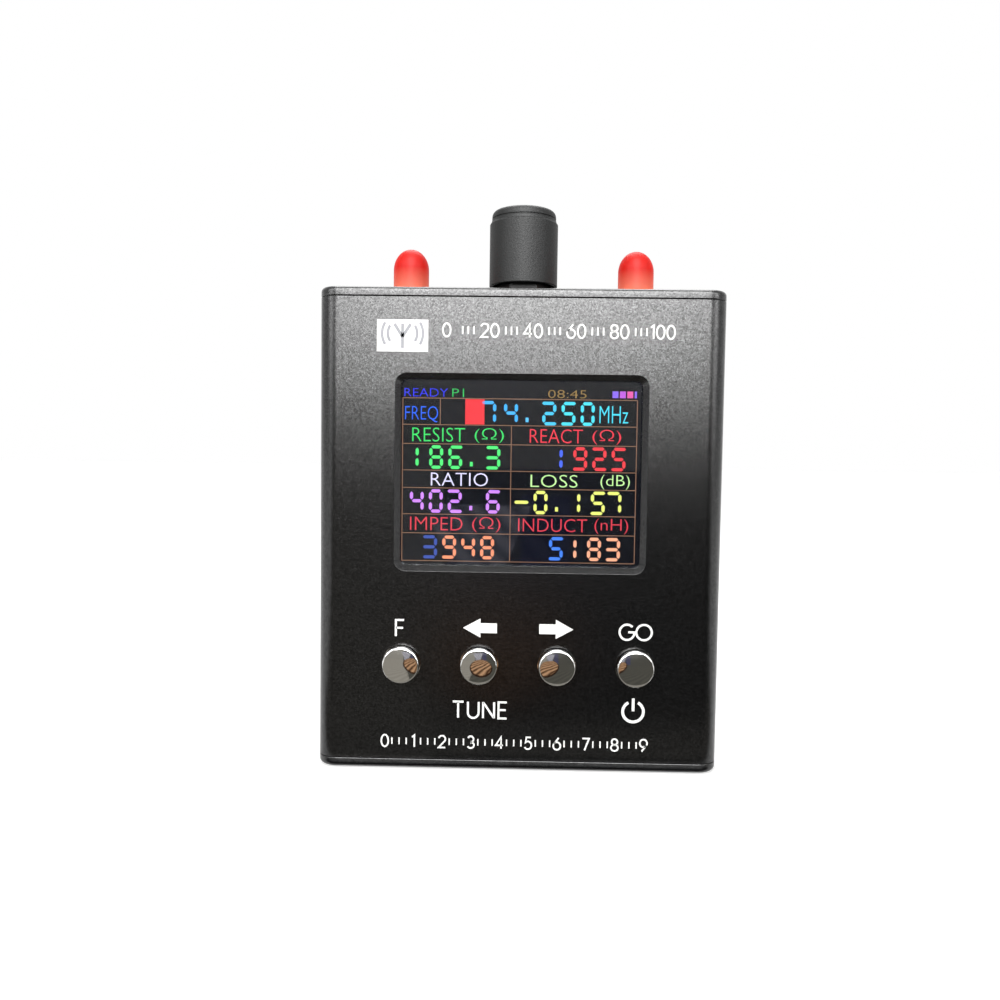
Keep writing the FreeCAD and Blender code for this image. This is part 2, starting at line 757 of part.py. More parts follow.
# ---- SMA jacks, their hardware, cables and dust caps ----
def sma_jack(x):
    """Bulkhead jack: hexagonal shoulder under the plate and thread through it."""
    shoulder_z = plate_under_z - jack_flange_thickness
    tail_z = shoulder_z - jack_barrel_length
    body = hex_post(jack_flange_flats, shoulder_z, plate_under_z, x)
    body = body.fuse([post(jack_thread_radius, plate_under_z, jack_top_z, x),
                      post(jack_barrel_radius, tail_z, shoulder_z, x)]).removeSplitter()
    mouth_z = jack_top_z - jack_mouth_depth
    bore_z = tail_z + contact_tail
    return body.cut([post(jack_mouth_radius, mouth_z, jack_top_z, x),
                     post(jack_insulator_radius, bore_z, mouth_z, x),
                     post(coax_radius, tail_z, bore_z, x)])


def sma_inner(x):
    """The insulator and centre contact inside a jack."""
    tail_z = plate_under_z - jack_flange_thickness - jack_barrel_length
    bore_z = tail_z + contact_tail
    mouth_z = jack_top_z - jack_mouth_depth
    tip_z = jack_top_z - contact_setback
    insulator = post(jack_insulator_radius, bore_z, mouth_z, x)
    insulator = insulator.cut(post(contact_radius, bore_z, mouth_z, x))
    contact = post(contact_radius, bore_z, tip_z, x)
    contact = contact.cut(post(contact_hole_radius, tip_z - contact_hole_depth, tip_z, x))
    return insulator, contact


def jack_hardware(x):
    """The washer and nut that clamp a jack to the plate."""
    bore = jack_thread_radius + thread_clearance
    washer = post(jack_washer_radius, case_height, washer_top_z, x)
    nut = hex_post(jack_nut_flats, washer_top_z, jack_nut_top_z, x)
    return (washer.cut(post(bore, case_height, washer_top_z, x)),
            nut.cut(post(bore, washer_top_z, jack_nut_top_z, x)))


def dust_cap(x):
    """Soft bullet-shaped cap pushed over a jack's thread."""
    shoulder_z = cap_bottom_z + cap_height - cap_dome_height
    top_z = cap_bottom_z + cap_height
    bore = jack_thread_radius + cap_fit_clearance
    room_z = jack_top_z + cap_end_clearance
    outside = spin([line(0, cap_bottom_z, cap_radius, cap_bottom_z),
                    line(cap_radius, cap_bottom_z, cap_radius, shoulder_z),
                    dome_edge(cap_radius, shoulder_z, cap_dome_height),
                    line(0, top_z, 0, cap_bottom_z)], x, 0)
    inside = spin([line(0, cap_bottom_z, bore, cap_bottom_z),
                   line(bore, cap_bottom_z, bore, room_z),
                   dome_edge(bore, room_z, cap_inner_dome),
                   line(0, room_z + cap_inner_dome, 0, cap_bottom_z)], x, 0)
    return outside.cut(inside)


def coax(x):
    """A jack's cable, from its tail to the plug on the board's back."""
    tail_z = plate_under_z - jack_flange_thickness - jack_barrel_length
    plug_y = board_back_y + coax_plug_height - coax_radius
    plug_top_z = coax_plug_z + coax_plug_radius
    end = V(x, plug_y, plug_top_z)
    run = (tail_z - plug_top_z) / 3
    points = [V(x, 0, tail_z), V(x, 0, tail_z - run), V(x, plug_y, plug_top_z + run), end]
    return wire_run(points, coax_radius)


def jacks():
    """Both jacks, with all that belongs to them."""
    inner = [sma_inner(x) for x in jack_places.values()]
    hardware = [jack_hardware(x) for x in jack_places.values()]
    plugs = []
    for name, x in jack_places.items():
        keep("sma_jack_" + name, sma_jack(x))
        keep("dust_cap_" + name, dust_cap(x))
        cable, radii = coax(x)
        print("coax", name, "bend radii", radii)
        keep("coax_" + name, cable)
        plugs.append(peg(coax_plug_radius, board_back_y, board_back_y + coax_plug_height,
                         x, coax_plug_z))
    keep("sma_insulators", *[pair[0] for pair in inner])
    keep("sma_contacts", *[pair[1] for pair in inner])
    keep("sma_washers", *[pair[0] for pair in hardware])
    keep("sma_nuts", *[pair[1] for pair in hardware])
    keep("coax_plugs", *plugs)


# ---- Battery ----
def battery():
    """Pouch cell taped to the back shell, and its plug and leads."""
    half = battery_width / 2
    cell = rounded_block(-half, half, battery_front_y, battery_back_y,
                         battery_bottom_z, battery_top_z, battery_edge_radius, V(0, 0, 1))
    tape = box(-half + battery_edge_radius, half - battery_edge_radius,
               battery_back_y, back_inner_y, battery_bottom_z, battery_top_z)
    x, z = header_width / 2, header_height / 2
    mouth_y = board_back_y + header_depth
    floor_y = board_back_y + header_floor
    header = box(-x, x, board_back_y, mouth_y, header_z - z, header_z + z)
    px, pz = x - header_wall, z - header_wall
    header = header.cut(box(-px, px, floor_y, mouth_y, header_z - pz, header_z + pz))
    px, pz = px - plug_clearance, pz - plug_clearance
    plug_y = mouth_y + plug_stand_out
    plug = box(-px, px, floor_y, plug_y, header_z - pz, header_z + pz)
    cell_y = (battery_front_y + battery_back_y) / 2
    keep("battery", cell)
    keep("battery_tape", tape)
    keep("battery_header", header)
    keep("battery_plug", plug)
    for name, x in (("red", -battery_lead_spacing / 2), ("black", battery_lead_spacing / 2)):
        lead, radii = wire_run([V(x, plug_y, header_z), V(x, cell_y, header_z),
                                V(x, cell_y, battery_top_z)], battery_lead_radius)
        print("battery lead", name, "bend radii", radii)
        keep("battery_lead_" + name, lead)


# ---- Build and write every node ----
keep("front_shell", front_shell())
keep("back_shell", back_shell())
keep("top_end_plate", top_end_plate())
keep("bottom_end_plate", bottom_end_plate())
keep("top_plate_screws", *plate_screws(case_height, -1))
keep("bottom_plate_screws", *plate_screws(0, 1))
display()
keep("main_board", main_board())
board_parts()
usb_socket()
buttons()
keep("tuning_knob", tuning_knob())
encoder()
encoder_wiring()
jacks()
battery()

os.makedirs("parts", exist_ok=True)
for name, shape in nodes.items():
    shape.exportStep("parts/" + name + ".step")
print(len(nodes), "nodes")
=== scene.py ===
"""Hand-held antenna analyzer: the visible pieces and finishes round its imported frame."""

import math

import bmesh
import bpy
from bpy.props import FloatProperty, FloatVectorProperty, PointerProperty
from bpy.types import Operator, Panel, PropertyGroup
from mathutils import Matrix, Vector


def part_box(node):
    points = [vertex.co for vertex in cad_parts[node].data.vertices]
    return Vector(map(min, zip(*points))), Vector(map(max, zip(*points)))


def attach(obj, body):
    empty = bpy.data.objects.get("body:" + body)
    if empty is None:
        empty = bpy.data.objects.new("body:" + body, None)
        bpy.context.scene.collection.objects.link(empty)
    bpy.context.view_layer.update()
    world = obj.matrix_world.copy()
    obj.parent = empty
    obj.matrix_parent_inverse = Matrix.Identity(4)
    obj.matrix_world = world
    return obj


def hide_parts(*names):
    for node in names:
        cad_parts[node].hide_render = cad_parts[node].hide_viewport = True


bl_info = {
    "name": "Antenna Analyzer Surfaces",
    "version": (1, 0, 0),
    "blender": (4, 5, 0),
    "location": "3D View > Sidebar > Analyzer",
    "description": "Builds the visible pieces of a hand-held antenna analyzer round its frame",
    "category": "Object",
}

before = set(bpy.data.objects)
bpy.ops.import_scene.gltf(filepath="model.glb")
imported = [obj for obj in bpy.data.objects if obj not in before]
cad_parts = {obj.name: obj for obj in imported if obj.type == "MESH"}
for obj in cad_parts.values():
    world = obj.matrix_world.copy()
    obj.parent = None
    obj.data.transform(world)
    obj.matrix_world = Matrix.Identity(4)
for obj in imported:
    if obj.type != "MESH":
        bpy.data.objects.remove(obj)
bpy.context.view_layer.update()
MM = 0.001


def linear(code):
    """An sRGB hex colour as linear red, green, blue and alpha."""
    values = [int(code[i:i + 2], 16) / 255 for i in (1, 3, 5)]
    return tuple(v / 12.92 if v <= 0.04045 else ((v + 0.055) / 1.055) ** 2.4
                 for v in values) + (1.0,)


def corners(node):
    """A frame node's lowest and highest corners, in millimetres."""
    low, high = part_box(node)
    return low / MM, high / MM


# ---- Settings ----
def length(name, description, millimetres):
    """A size setting, given in millimetres and kept in metres."""
    return FloatProperty(name=name, description=description, default=millimetres * MM,
                         min=0.0, precision=5, unit="LENGTH")


def tint(name, description, code):
    """A colour setting, given as sRGB hex."""
    return FloatVectorProperty(name=name, description=description, default=linear(code),
                               size=4, min=0.0, max=1.0, subtype="COLOR")


def amount(name, description, value, highest=100.0):
    """A plain number setting."""
    return FloatProperty(name=name, description=description, default=value,
                         min=0.0, max=highest)


class CaseSettings(PropertyGroup):
    wall: length("Wall", "Thickness of the extruded channels", 2.0)
    corner: length("Corner radius", "Radius of the four long edges", 4.0)
    edge: length("Edge break", "Rounding left on machined edges by tumbling", 0.16)
    seam: length("Seam", "Chamfer of the end plates' inner edges", 0.12)
    plate_edge: length("End plate edge", "Radius round the end plates' outer faces", 1.0)
    window_width: length("Window width", "Opening in the front, inside its bevel", 49.8)
    window_height: length("Window height", "Opening in the front, inside its bevel", 38.6)
    window_centre: length("Window centre", "Height of the window's middle", 62.0)
    window_corner: length("Window corner", "Corner radius of the opening", 1.3)
    window_bevel: length("Window bevel", "Width of the bevel round the window", 1.15)
    key_clearance: length("Key clearance", "Gap round each key", 0.15)
    dye: tint("Dye", "Colour of the anodised film", "#0B0B0C")


class PrintSettings(PropertyGroup):
    stroke: length("Stroke", "Width of the printed lines", 0.42)
    film: length("Film", "Thickness of the ink", 0.03)
    ink: tint("Ink", "Colour of the legends", "#F9F9F6")
    mark: tint("Mark", "Colour of the sign in the white patch", "#8E8F94")


class DisplaySettings(PropertyGroup):
    dot: length("Dot pitch", "Pitch of the display's dots", 0.153)
    centre_x: length("Centre across", "Lit area's middle, left of the case's middle", 0.35)
    centre_z: length("Centre height", "Height of the lit area's middle", 61.55)
    brightness: amount("Brightness", "Strength of the lit dots", 1.25)
    dark: tint("Dark dots", "Colour that the unlit dots let through", "#080A14")


class KeySettings(PropertyGroup):
    radius: length("Radius", "Outside radius of each key", 3.85)
    crown: length("Crown", "Rise of each key's domed face", 0.37)
    rim: length("Rim", "Width of the rounded rim", 0.38)
    flange: length("Flange", "Thickness of the hidden flange", 0.8)
    plating: tint("Plating", "Colour of the bright plating", "#E4E3E1")


class KnobSettings(PropertyGroup):
    radius: length("Radius", "Outside radius", 7.4)
    band: length("Top band", "Height of the narrower band at the top", 2.65)
    step: length("Step", "How much narrower the band is", 0.4)
    groove: length("Groove", "Width of the line round the band", 0.4)
    shoulder: length("Shoulder", "Radius round the top", 1.3)
    recess: length("Recess", "Radius of the hollow underneath", 6.7)
    recess_depth: length("Recess depth", "Depth of the hollow underneath", 2.6)
    shell: tint("Colour", "Colour of the moulding", "#1E1F1F")


class CapSettings(PropertyGroup):
    dome: length("Dome", "Height of the rounded end", 4.5)
    bore: length("Bore", "Inside radius, over the thread", 3.255)
    end: length("End", "Thickness of the closed end", 1.3)
    skin: tint("Colour", "Colour of the soft cap", "#DA2018")


class StageSettings(PropertyGroup):
    lens: FloatProperty(name="Lens", description="Focal length on a 36 mm frame",
                        default=32.459, min=1.0, unit="CAMERA")
    floor: tint("Floor", "Colour of the floor", "#E9E9E8")
    sheen: amount("Sheen", "Power of the softbox over the camera", 34.5, 1000.0)
    rim: amount("Rim", "Power of the softbox above and behind", 7.0, 1000.0)
    fill: amount("Fill", "Power of the two side lamps", 8.0, 1000.0)
    room: amount("Room", "Strength of the even light from all sides", 0.55)


SETTINGS = {
    "case": CaseSettings, "print": PrintSettings, "display": DisplaySettings,
    "key": KeySettings, "knob": KnobSettings, "cap": CapSettings, "stage": StageSettings,
}


def chosen(group):
    """The scene's settings for one group of pieces."""
    return getattr(bpy.context.scene, "analyzer_" + group)


# ---- Meshes ----
class Form:
    """Points in millimetres, and faces that each know their finish's number."""

    def __init__(self):
        self.points, self.faces, self.finishes = [], [], []

    def loft(self, rings, ends=(True, True), finish=0):
        """Skin a row of equal rings; with ends None the last ring joins the first."""
        first, count = len(self.points), len(rings[0])
        for ring in rings:
            self.points.extend(tuple(p) for p in ring)
        rows = len(rings) if ends is None else len(rings) - 1
        for row in range(rows):
            here, there = first + row * count, first + (row + 1) % len(rings) * count
            for column in range(count):
                after = (column + 1) % count
                self.faces.append((here + column, here + after, there + after, there + column))
                self.finishes.append(finish)
        for shut, row in zip(ends or (), (0, len(rings) - 1)):
            if shut:
                self.faces.append(tuple(range(first + row * count, first + (row + 1) * count)))
                self.finishes.append(finish)

    def turn(self, profile, x=0.0, y=0.0, z=0.0, along="Z", sides=72, shut=True):
        """Turn a profile of (radius, height) about an axis; shut joins its two ends."""
        spots = [(math.cos(2 * math.pi * i / sides), math.sin(2 * math.pi * i / sides))
                 for i in range(sides)]
        rings = []
        for radius, height in profile:
            if along == "Z":
                rings.append([(x + radius * c, y + radius * s, z + height) for c, s in spots])
            else:
                rings.append([(x + radius * c, y + height, z + radius * s) for c, s in spots])
        self.loft(rings, ends=None if shut else (True, True))

    def plate(self, outline, y0, y1, finish=0):
        """A flat piece that faces along Y, from an outline of (x, z)."""
        self.loft([[(x, y, z) for x, z in outline] for y in (y0, y1)], finish=finish)

    def stroke(self, path, width, y0, y1, shut=False, finish=0):
        """A drawn line of even width along a path of (x, z)."""
        rings, count = [], len(path)
        for i, point in enumerate(path):
            here = Vector(point)
            before = here - Vector(path[i - 1]) if i or shut else None
            after = Vector(path[(i + 1) % count]) - here if i < count - 1 or shut else None
            before, after = (before or after).normalized(), (after or before).normalized()
            middle = (before + after).normalized()
            reach = width / 2 / max(middle.dot(before), 0.45)
            side = Vector((-middle.y, middle.x)) * reach
            left, right = here + side, here - side
            rings.append([(left.x, y0, left.y), (right.x, y0, right.y),
                          (right.x, y1, right.y), (left.x, y1, left.y)])
        self.loft(rings, ends=None if shut else (True, True), finish=finish)

    def mesh(self, name):
        """The form as a Blender mesh in metres, with its faces turned outward."""
        mesh = bpy.data.meshes.new(name)
        mesh.from_pydata([Vector(p) * MM for p in self.points], [], self.faces)
        mesh.polygons.foreach_set("material_index", self.finishes)
        shape = bmesh.new()
        shape.from_mesh(mesh)
        bmesh.ops.remove_doubles(shape, verts=shape.verts, dist=1e-8)
        bmesh.ops.recalc_face_normals(shape, faces=shape.faces)
        shape.to_mesh(mesh)
        shape.free()
        return mesh


def rounded(points, radii, steps=6, shut=True):
    """A polyline with its corners rounded, by one radius or by one for each point."""
    result, count = [], len(points)
    for i, point in enumerate(points):
        radius = radii[i] if isinstance(radii, (list, tuple)) else radii
        corner = Vector(point)
        if radius <= 0 or (not shut and i in (0, count - 1)):
            result.append(corner)
            continue
        back = (Vector(points[i - 1]) - corner).normalized()
        ahead = (Vector(points[(i + 1) % count]) - corner).normalized()
        half = back.angle(ahead) / 2
        centre = corner + (back + ahead).normalized() * (radius / math.sin(half))
        start = corner + back * (radius / math.tan(half)) - centre
        end = corner + ahead * (radius / math.tan(half)) - centre
        first = math.atan2(start.y, start.x)
        sweep = (math.atan2(end.y, end.x) - first + math.pi) % (2 * math.pi) - math.pi
        for step in range(steps + 1):
            angle = first + sweep * step / steps
            result.append(centre + radius * Vector((math.cos(angle), math.sin(angle))))
    return result


def block_outline(half_width, half_height, radius, steps=8, x=0.0, y=0.0):
    """A rounded rectangle about a middle."""
    points = [(-half_width, -half_height), (half_width, -half_height),
              (half_width, half_height), (-half_width, half_height)]
    return [p + Vector((x, y)) for p in rounded(points, radius, steps)]


def arc(x, y, across, up, first, last, steps=14):
    """Points on an ellipse from one angle to another, in degrees."""
    angles = [math.radians(first + (last - first) * i / steps) for i in range(steps + 1)]
    return [(x + across * math.cos(a), y + up * math.sin(a)) for a in angles]


def circle(radius, z, x=0.0, y=0.0, sides=48):
    """A level ring of points about an upright axis."""
    return [(x + radius * math.cos(2 * math.pi * i / sides),
             y + radius * math.sin(2 * math.pi * i / sides), z) for i in range(sides)]


def new_object(name, mesh, finishes):
    """An object for a mesh, with its finishes in order."""
    piece = bpy.data.objects.new(name, mesh)
    bpy.context.scene.collection.objects.link(piece)
    for material in finishes:
        mesh.materials.append(material)
    return piece


def settle(piece):
    """Apply a piece's modifiers to its mesh."""
    ready = piece.evaluated_get(bpy.context.evaluated_depsgraph_get())
    mesh = bpy.data.meshes.new_from_object(ready)
    piece.modifiers.clear()
    piece.data = mesh


def cut(piece, *forms):
    """Cut solid forms out of a piece."""
    for form in forms:
        tool = new_object("cutter", form.mesh("cutter"), ())
        boolean = piece.modifiers.new("cut", "BOOLEAN")
        boolean.operation, boolean.solver, boolean.object = "DIFFERENCE", "EXACT", tool
        settle(piece)
        bpy.data.objects.remove(tool)


def soften(piece, width, angle=34.0, rows=2):
    """Break a piece's sharp edges, as tumbling or moulding does, and shade it evenly."""
    if width:
        bevel = piece.modifiers.new("edges", "BEVEL")
        bevel.width, bevel.segments = width, rows
        bevel.limit_method, bevel.angle_limit = "ANGLE", math.radians(angle)
        settle(piece)
    piece.data.shade_smooth()
    piece.data.set_sharp_from_angle(angle=math.radians(angle))
    normals = piece.modifiers.new("normals", "WEIGHTED_NORMAL")
    normals.keep_sharp = True


def finish_piece(piece, body, slot, *nodes):
    """Put a piece on the body it rides on and hide the frame nodes that it stands for; its slot is
    not used.
    """
    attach(piece, body)
    if nodes:
        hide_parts(*nodes)


# ---- Finishes ----
def add(tree, kind, settings=None, links=None):
    """Add a shader node, with its settings and what feeds its sockets."""
    node = tree.nodes.new(kind)
    for key, value in (settings or {}).items():
        if isinstance(key, int) or key in node.inputs:
            node.inputs[key].default_value = value
        else:
            setattr(node, key, value)
    for key, source in (links or {}).items():
        tree.links.new(source, node.inputs[key])
    return node


def surface(name, base, shade, rough, grain, relief, spread=0.08, **sockets):
    """A finish whose colour, gloss and height drift over a grain, both sizes in mm."""
    material = bpy.data.materials.new(name)
    material.use_nodes = True
    tree = material.node_tree
    shader = tree.nodes["Principled BSDF"]
    for key, value in sockets.items():
        shader.inputs[key.replace("_", " ")].default_value = value
    place = add(tree, "ShaderNodeTexCoord").outputs["Object"]
    noise = add(tree, "ShaderNodeTexNoise", {"Scale": 1 / (grain * MM), "Detail": 3.0},
                {"Vector": place}).outputs["Fac"]
    colours = [c if isinstance(c, tuple) else linear(c) for c in (base, shade)]
    mixed = add(tree, "ShaderNodeMix", {"data_type": "RGBA", 6: colours[0], 7: colours[1]},
                {0: noise}).outputs[2]
    gloss = add(tree, "ShaderNodeMapRange", {"To Min": max(rough - spread, 0.0),
                                             "To Max": min(rough + spread, 1.0)},
                {"Value": noise}).outputs["Result"]
    bump = add(tree, "ShaderNodeBump", {"Strength": 1.0, "Distance": relief * MM},
               {"Height": noise}).outputs["Normal"]
    tree.links.new(mixed, shader.inputs["Base Color"])
    tree.links.new(gloss, shader.inputs["Roughness"])
    tree.links.new(bump, shader.inputs["Normal"])
    return material


def darker(colour, factor):
    """A linear colour, scaled."""
    return tuple(v * factor for v in colour[:3]) + (1.0,)


def anodised_aluminium():
    """Aluminium, bead blasted and dyed black in the anodising bath.

    The 0.1 mm pits of the blasting spread the sheen wide. Patches of them throw back more
    or less light, so it looks sandy; the patches are drawn at 0.28 mm so that they show.
    """
    dye = tuple(chosen("case").dye)
    material = surface("bead_blasted_black_anodised_aluminium", dye, darker(dye, 0.7), 0.16,
                       0.1, 0.02, 0.02)
    tree = material.node_tree
    shader = tree.nodes["Principled BSDF"]
    place = add(tree, "ShaderNodeTexCoord").outputs["Object"]
    patches = add(tree, "ShaderNodeTexVoronoi", {"Scale": 1 / (0.28 * MM)}, {"Vector": place})
    sheen = add(tree, "ShaderNodeMapRange", {"To Min": 0.29, "To Max": 0.71},
                {"Value": patches.outputs["Color"]}).outputs["Result"]
    tree.links.new(sheen, shader.inputs["Specular IOR Level"])
    tones = add(tree, "ShaderNodeMix", {"data_type": "RGBA", 6: darker(dye, 0.3),
                                        7: darker(dye, 1.5)},
                {0: patches.outputs["Color"]}).outputs[2]
    tree.links.new(tones, shader.inputs["Base Color"])
    return material


def screen_print(name, colour):
    """Screen-printed epoxy ink: dense, flat and slightly satin."""
    return surface(name, colour, darker(colour, 0.93), 0.5, 0.3, 0.002)


def dipped_vinyl():
    """Red PVC, dip moulded: a satin skin with a faint orange peel.

    Towards the mouth the red is painted paler, a painted highlight low on the cap.
    """
    skin = tuple(chosen("cap").skin)
    material = surface("dip_moulded_red_pvc", skin, darker(skin, 0.9), 0.42, 1.6, 0.02, 0.05,
                       Specular_IOR_Level=0.1)
    tree = material.node_tree
    shader = tree.nodes["Principled BSDF"]
    mouth = corners("dust_cap_left")[0].z * MM
    place = add(tree, "ShaderNodeTexCoord").outputs["Object"]
    height = add(tree, "ShaderNodeSeparateXYZ", links={"Vector": place}).outputs["Z"]
    # Painted highlight: over the lowest 4.5 mm the red fades towards a pale orange.
    painted_mouth_highlight = add(tree, "ShaderNodeMapRange", {"From Min": mouth, "From Max": mouth + 4.5 * MM,
                                            "To Min": 1.0, "To Max": 0.0},
               {"Value": height}).outputs["Result"]
    mixed = add(tree, "ShaderNodeMix", {"data_type": "RGBA", 6: skin, 7: linear("#F07A62")},
                {0: painted_mouth_highlight}).outputs[2]
    tree.links.new(mixed, shader.inputs["Base Color"])
    return material


def chrome_plate():
    """Brass caps with bright decorative chrome: a clean mirror, a trace of haze."""
    plating = tuple(chosen("key").plating)
    return surface("bright_chrome_plated_brass", plating, darker(plating, 0.95), 0.06, 0.9,
                   0.0006, 0.02, Metallic=1.0)


def spark_textured_plastic():
    """ABS from a spark-eroded mould: an even matt skin that greys where light rakes it."""
    shell = tuple(chosen("knob").shell)
    return surface("spark_textured_black_abs", shell, darker(shell, 0.75), 0.5, 0.35, 0.06,
                   Specular_IOR_Level=0.22)


def clear_window():
    """Cast acrylic with a hard, reflection-damped coat: nearly unseen but for a soft glare."""
    return surface("hard_coated_cast_acrylic", "#F3F6F8", "#EEF2F6", 0.03, 8.0, 0.0002, 0.01,
                   Transmission_Weight=1.0, IOR=1.49, Specular_IOR_Level=0.14)


def display_glass():
    """Polariser film on display glass: near black, with a faint blue leak of backlight."""
    dark = tuple(chosen("display").dark)
    return surface("polariser_on_display_glass", "#050608", "#08090D", 0.12, 3.0, 0.0005, 0.02,
                   Specular_IOR_Level=0.12, Emission_Color=dark, Emission_Strength=1.0)


def lit_dots(code):
    """Display dots lit through their colour filters: even light, no gloss."""
    material = bpy.data.materials.new("lit_display_dots_" + code[1:])
    material.use_nodes = True
    tree = material.node_tree
    shader = tree.nodes["Principled BSDF"]
    shader.inputs["Roughness"].default_value = 0.6
    shader.inputs["Specular IOR Level"].default_value = 0.0
    shader.inputs["Emission Strength"].default_value = chosen("display").brightness
    place = add(tree, "ShaderNodeTexCoord").outputs["Object"]
    weave = add(tree, "ShaderNodeTexNoise", {"Scale": 1 / (0.6 * MM)}, {"Vector": place})
    colour = linear(code)
    mixed = add(tree, "ShaderNodeMix",
                {"data_type": "RGBA", 6: darker(colour, 0.86), 7: colour},
                {0: weave.outputs["Fac"]}).outputs[2]
    tree.links.new(mixed, shader.inputs["Emission Color"])
    shader.inputs["Base Color"].default_value = darker(colour, 0.1)
    return material


def masked_board():
    """Glass-epoxy board under green solder mask, with the copper showing as paler runs."""
    material = surface("solder_masked_glass_epoxy", "#0B4A2A", "#0F5C35", 0.35, 1.2, 0.01)
    tree = material.node_tree
    shader = tree.nodes["Principled BSDF"]
    place = add(tree, "ShaderNodeTexCoord").outputs["Object"]
    runs = add(tree, "ShaderNodeTexBrick", {"Scale": 1 / (20 * MM), "Mortar Size": 0.02,
                                            "Color1": linear("#0B4A2A"),
                                            "Color2": linear("#0D5230"),
                                            "Mortar": linear("#2C7F4C")},
               {"Vector": place}).outputs["Color"]
    tree.links.new(runs, shader.inputs["Base Color"])
    return material


# What each of the record's slots is finished with. The comment gives the real material.
FINISHES = {
    "black_anodised": anodised_aluminium,
    # Steel, zinc plated and passivated black: dark with a dull oily gloss.
    "black_screw_steel": lambda: surface("black_zinc_plated_steel", "#0B0B0C", "#111113", 0.45,
                                         0.5, 0.004, Specular_IOR_Level=0.2),
    "clear_lens": clear_window,
    # Acrylic foam tape, die cut: soft dead black.
    "black_tape": lambda: surface("die_cut_acrylic_foam_tape", "#0C0C0D", "#141415", 0.8,
                                  0.3, 0.02),
    "lcd_panel": display_glass,
    # White polycarbonate frame, moulded: milky and satin.
    "white_frame": lambda: surface("moulded_white_polycarbonate", "#E6E6E2", "#DCDCD8", 0.4,
                                   1.0, 0.005, Subsurface_Weight=0.1,
                                   Subsurface_Scale=0.5 * MM),
    # Polyimide film, cast and laminated with copper: glossy amber.
    "amber_film": lambda: surface("laminated_polyimide_film", "#B3691F", "#C98434", 0.28,
                                  0.6, 0.006),
    # Polyethylene foam, skived: open grey pores, no gloss.
    "grey_foam": lambda: surface("skived_polyethylene_foam", "#4C4D50", "#67686C", 0.9,
                                 0.35, 0.08),
    "green_board": masked_board,
    # Epoxy chip packages, transfer moulded: dark grey and finely pitted.
    "chip_black": lambda: surface("transfer_moulded_epoxy", "#1A1B1D", "#26272A", 0.62,
                                  0.2, 0.01),
    # Steel, stamped and nickel plated: warm grey metal, softly bright.
    "nickel_steel": lambda: surface("nickel_plated_stamped_steel", "#B9B4A9", "#A9A498",
                                    0.26, 0.7, 0.004, Metallic=1.0),
    # Glass-filled nylon, moulded: black with a dry, streaky skin.
    "black_nylon": lambda: surface("glass_filled_black_nylon", "#17171A", "#222327", 0.52,
                                   0.3, 0.008),
    # Epoxy lens of the charge light, cast: cloudy clear.
    "clear_led": lambda: surface("cast_clear_epoxy", "#EFF2EC", "#E2E7DE", 0.14, 1.0, 0.002,
                                 Transmission_Weight=0.7, IOR=1.54),
    "bright_chrome": chrome_plate,
    # Acetal, moulded: opaque white and slippery.
    "white_acetal": lambda: surface("moulded_acetal", "#E9E9E4", "#DEDED8", 0.34, 0.8, 0.004),
    "charcoal_knob": spark_textured_plastic,
    # Zinc alloy, die cast and nickel flashed: dull grey with flow marks.
    "zinc_casting": lambda: surface("die_cast_zinc", "#8E9093", "#A2A4A7", 0.4, 0.9, 0.012,
                                    Metallic=0.95),
    # Aluminium bar, turned: bright with fine rings.
    "shaft_aluminium": lambda: surface("turned_aluminium", "#C6C7C9", "#B5B6B9", 0.28,
                                       0.15, 0.004, Metallic=1.0),
    # Brass, turned and gold plated: deep yellow, bright on the thread's crests.
    "gold_plated_brass": lambda: surface("gold_plated_turned_brass", "#E0B04A", "#D29C38",
                                         0.2, 0.6, 0.003, Metallic=1.0),
    # PTFE, turned: waxy white.
    "white_ptfe": lambda: surface("turned_ptfe", "#F0F0EC", "#E4E4E0", 0.42, 0.5, 0.006,
                                  Subsurface_Weight=0.2, Subsurface_Scale=0.6 * MM),
    # FEP jacket, extruded: glossy brown.
    "brown_coax": lambda: surface("extruded_brown_fep", "#5A3320", "#6B3F28", 0.25, 0.8, 0.004),
    "red_vinyl": dipped_vinyl,
    # Aluminium laminate pouch, pressed: crinkled silver.
    "silver_pouch": lambda: surface("pressed_aluminium_laminate", "#B7BABD", "#9DA0A4", 0.34,
                                    4.0, 0.12, Metallic=0.8),
    # Nylon plug, moulded: creamy and satin.
    "cream_nylon": lambda: surface("moulded_natural_nylon", "#DCD3B4", "#CFC5A3", 0.4, 0.8,
                                   0.005),
    # PVC lead insulation, extruded: smooth and lightly glossy.
    "lead_red": lambda: surface("extruded_red_pvc", "#B3201C", "#9E1A17", 0.36, 0.9, 0.004),
    "lead_black": lambda: surface("extruded_black_pvc", "#141416", "#1E1E21", 0.36, 0.9, 0.004),
    "lead_grey": lambda: surface("extruded_grey_pvc", "#6E7074", "#7D7F84", 0.38, 0.9, 0.004),
}
_made = {}


def finish(slot):
    """The finish of one of the record's slots, made once."""
    if slot not in _made:
        _made[slot] = FINISHES[slot]()
    return _made[slot]


def build(form, name, body, slot, nodes=(), edge=0.0, finishes=None, angle=34.0):
    """Turn a form into a finished piece on its body."""
    piece = new_object(name, form.mesh(name), finishes or [finish(slot)])
    soften(piece, edge * MM, angle)
    finish_piece(piece, body, slot, *nodes)


# ---- Case ----
# The plate screws, in millimetres: how far in they sit, their bore and their sink.
SCREW_INSET, SCREW_BORE, SCREW_SINK = 4.0, 1.3, 2.38


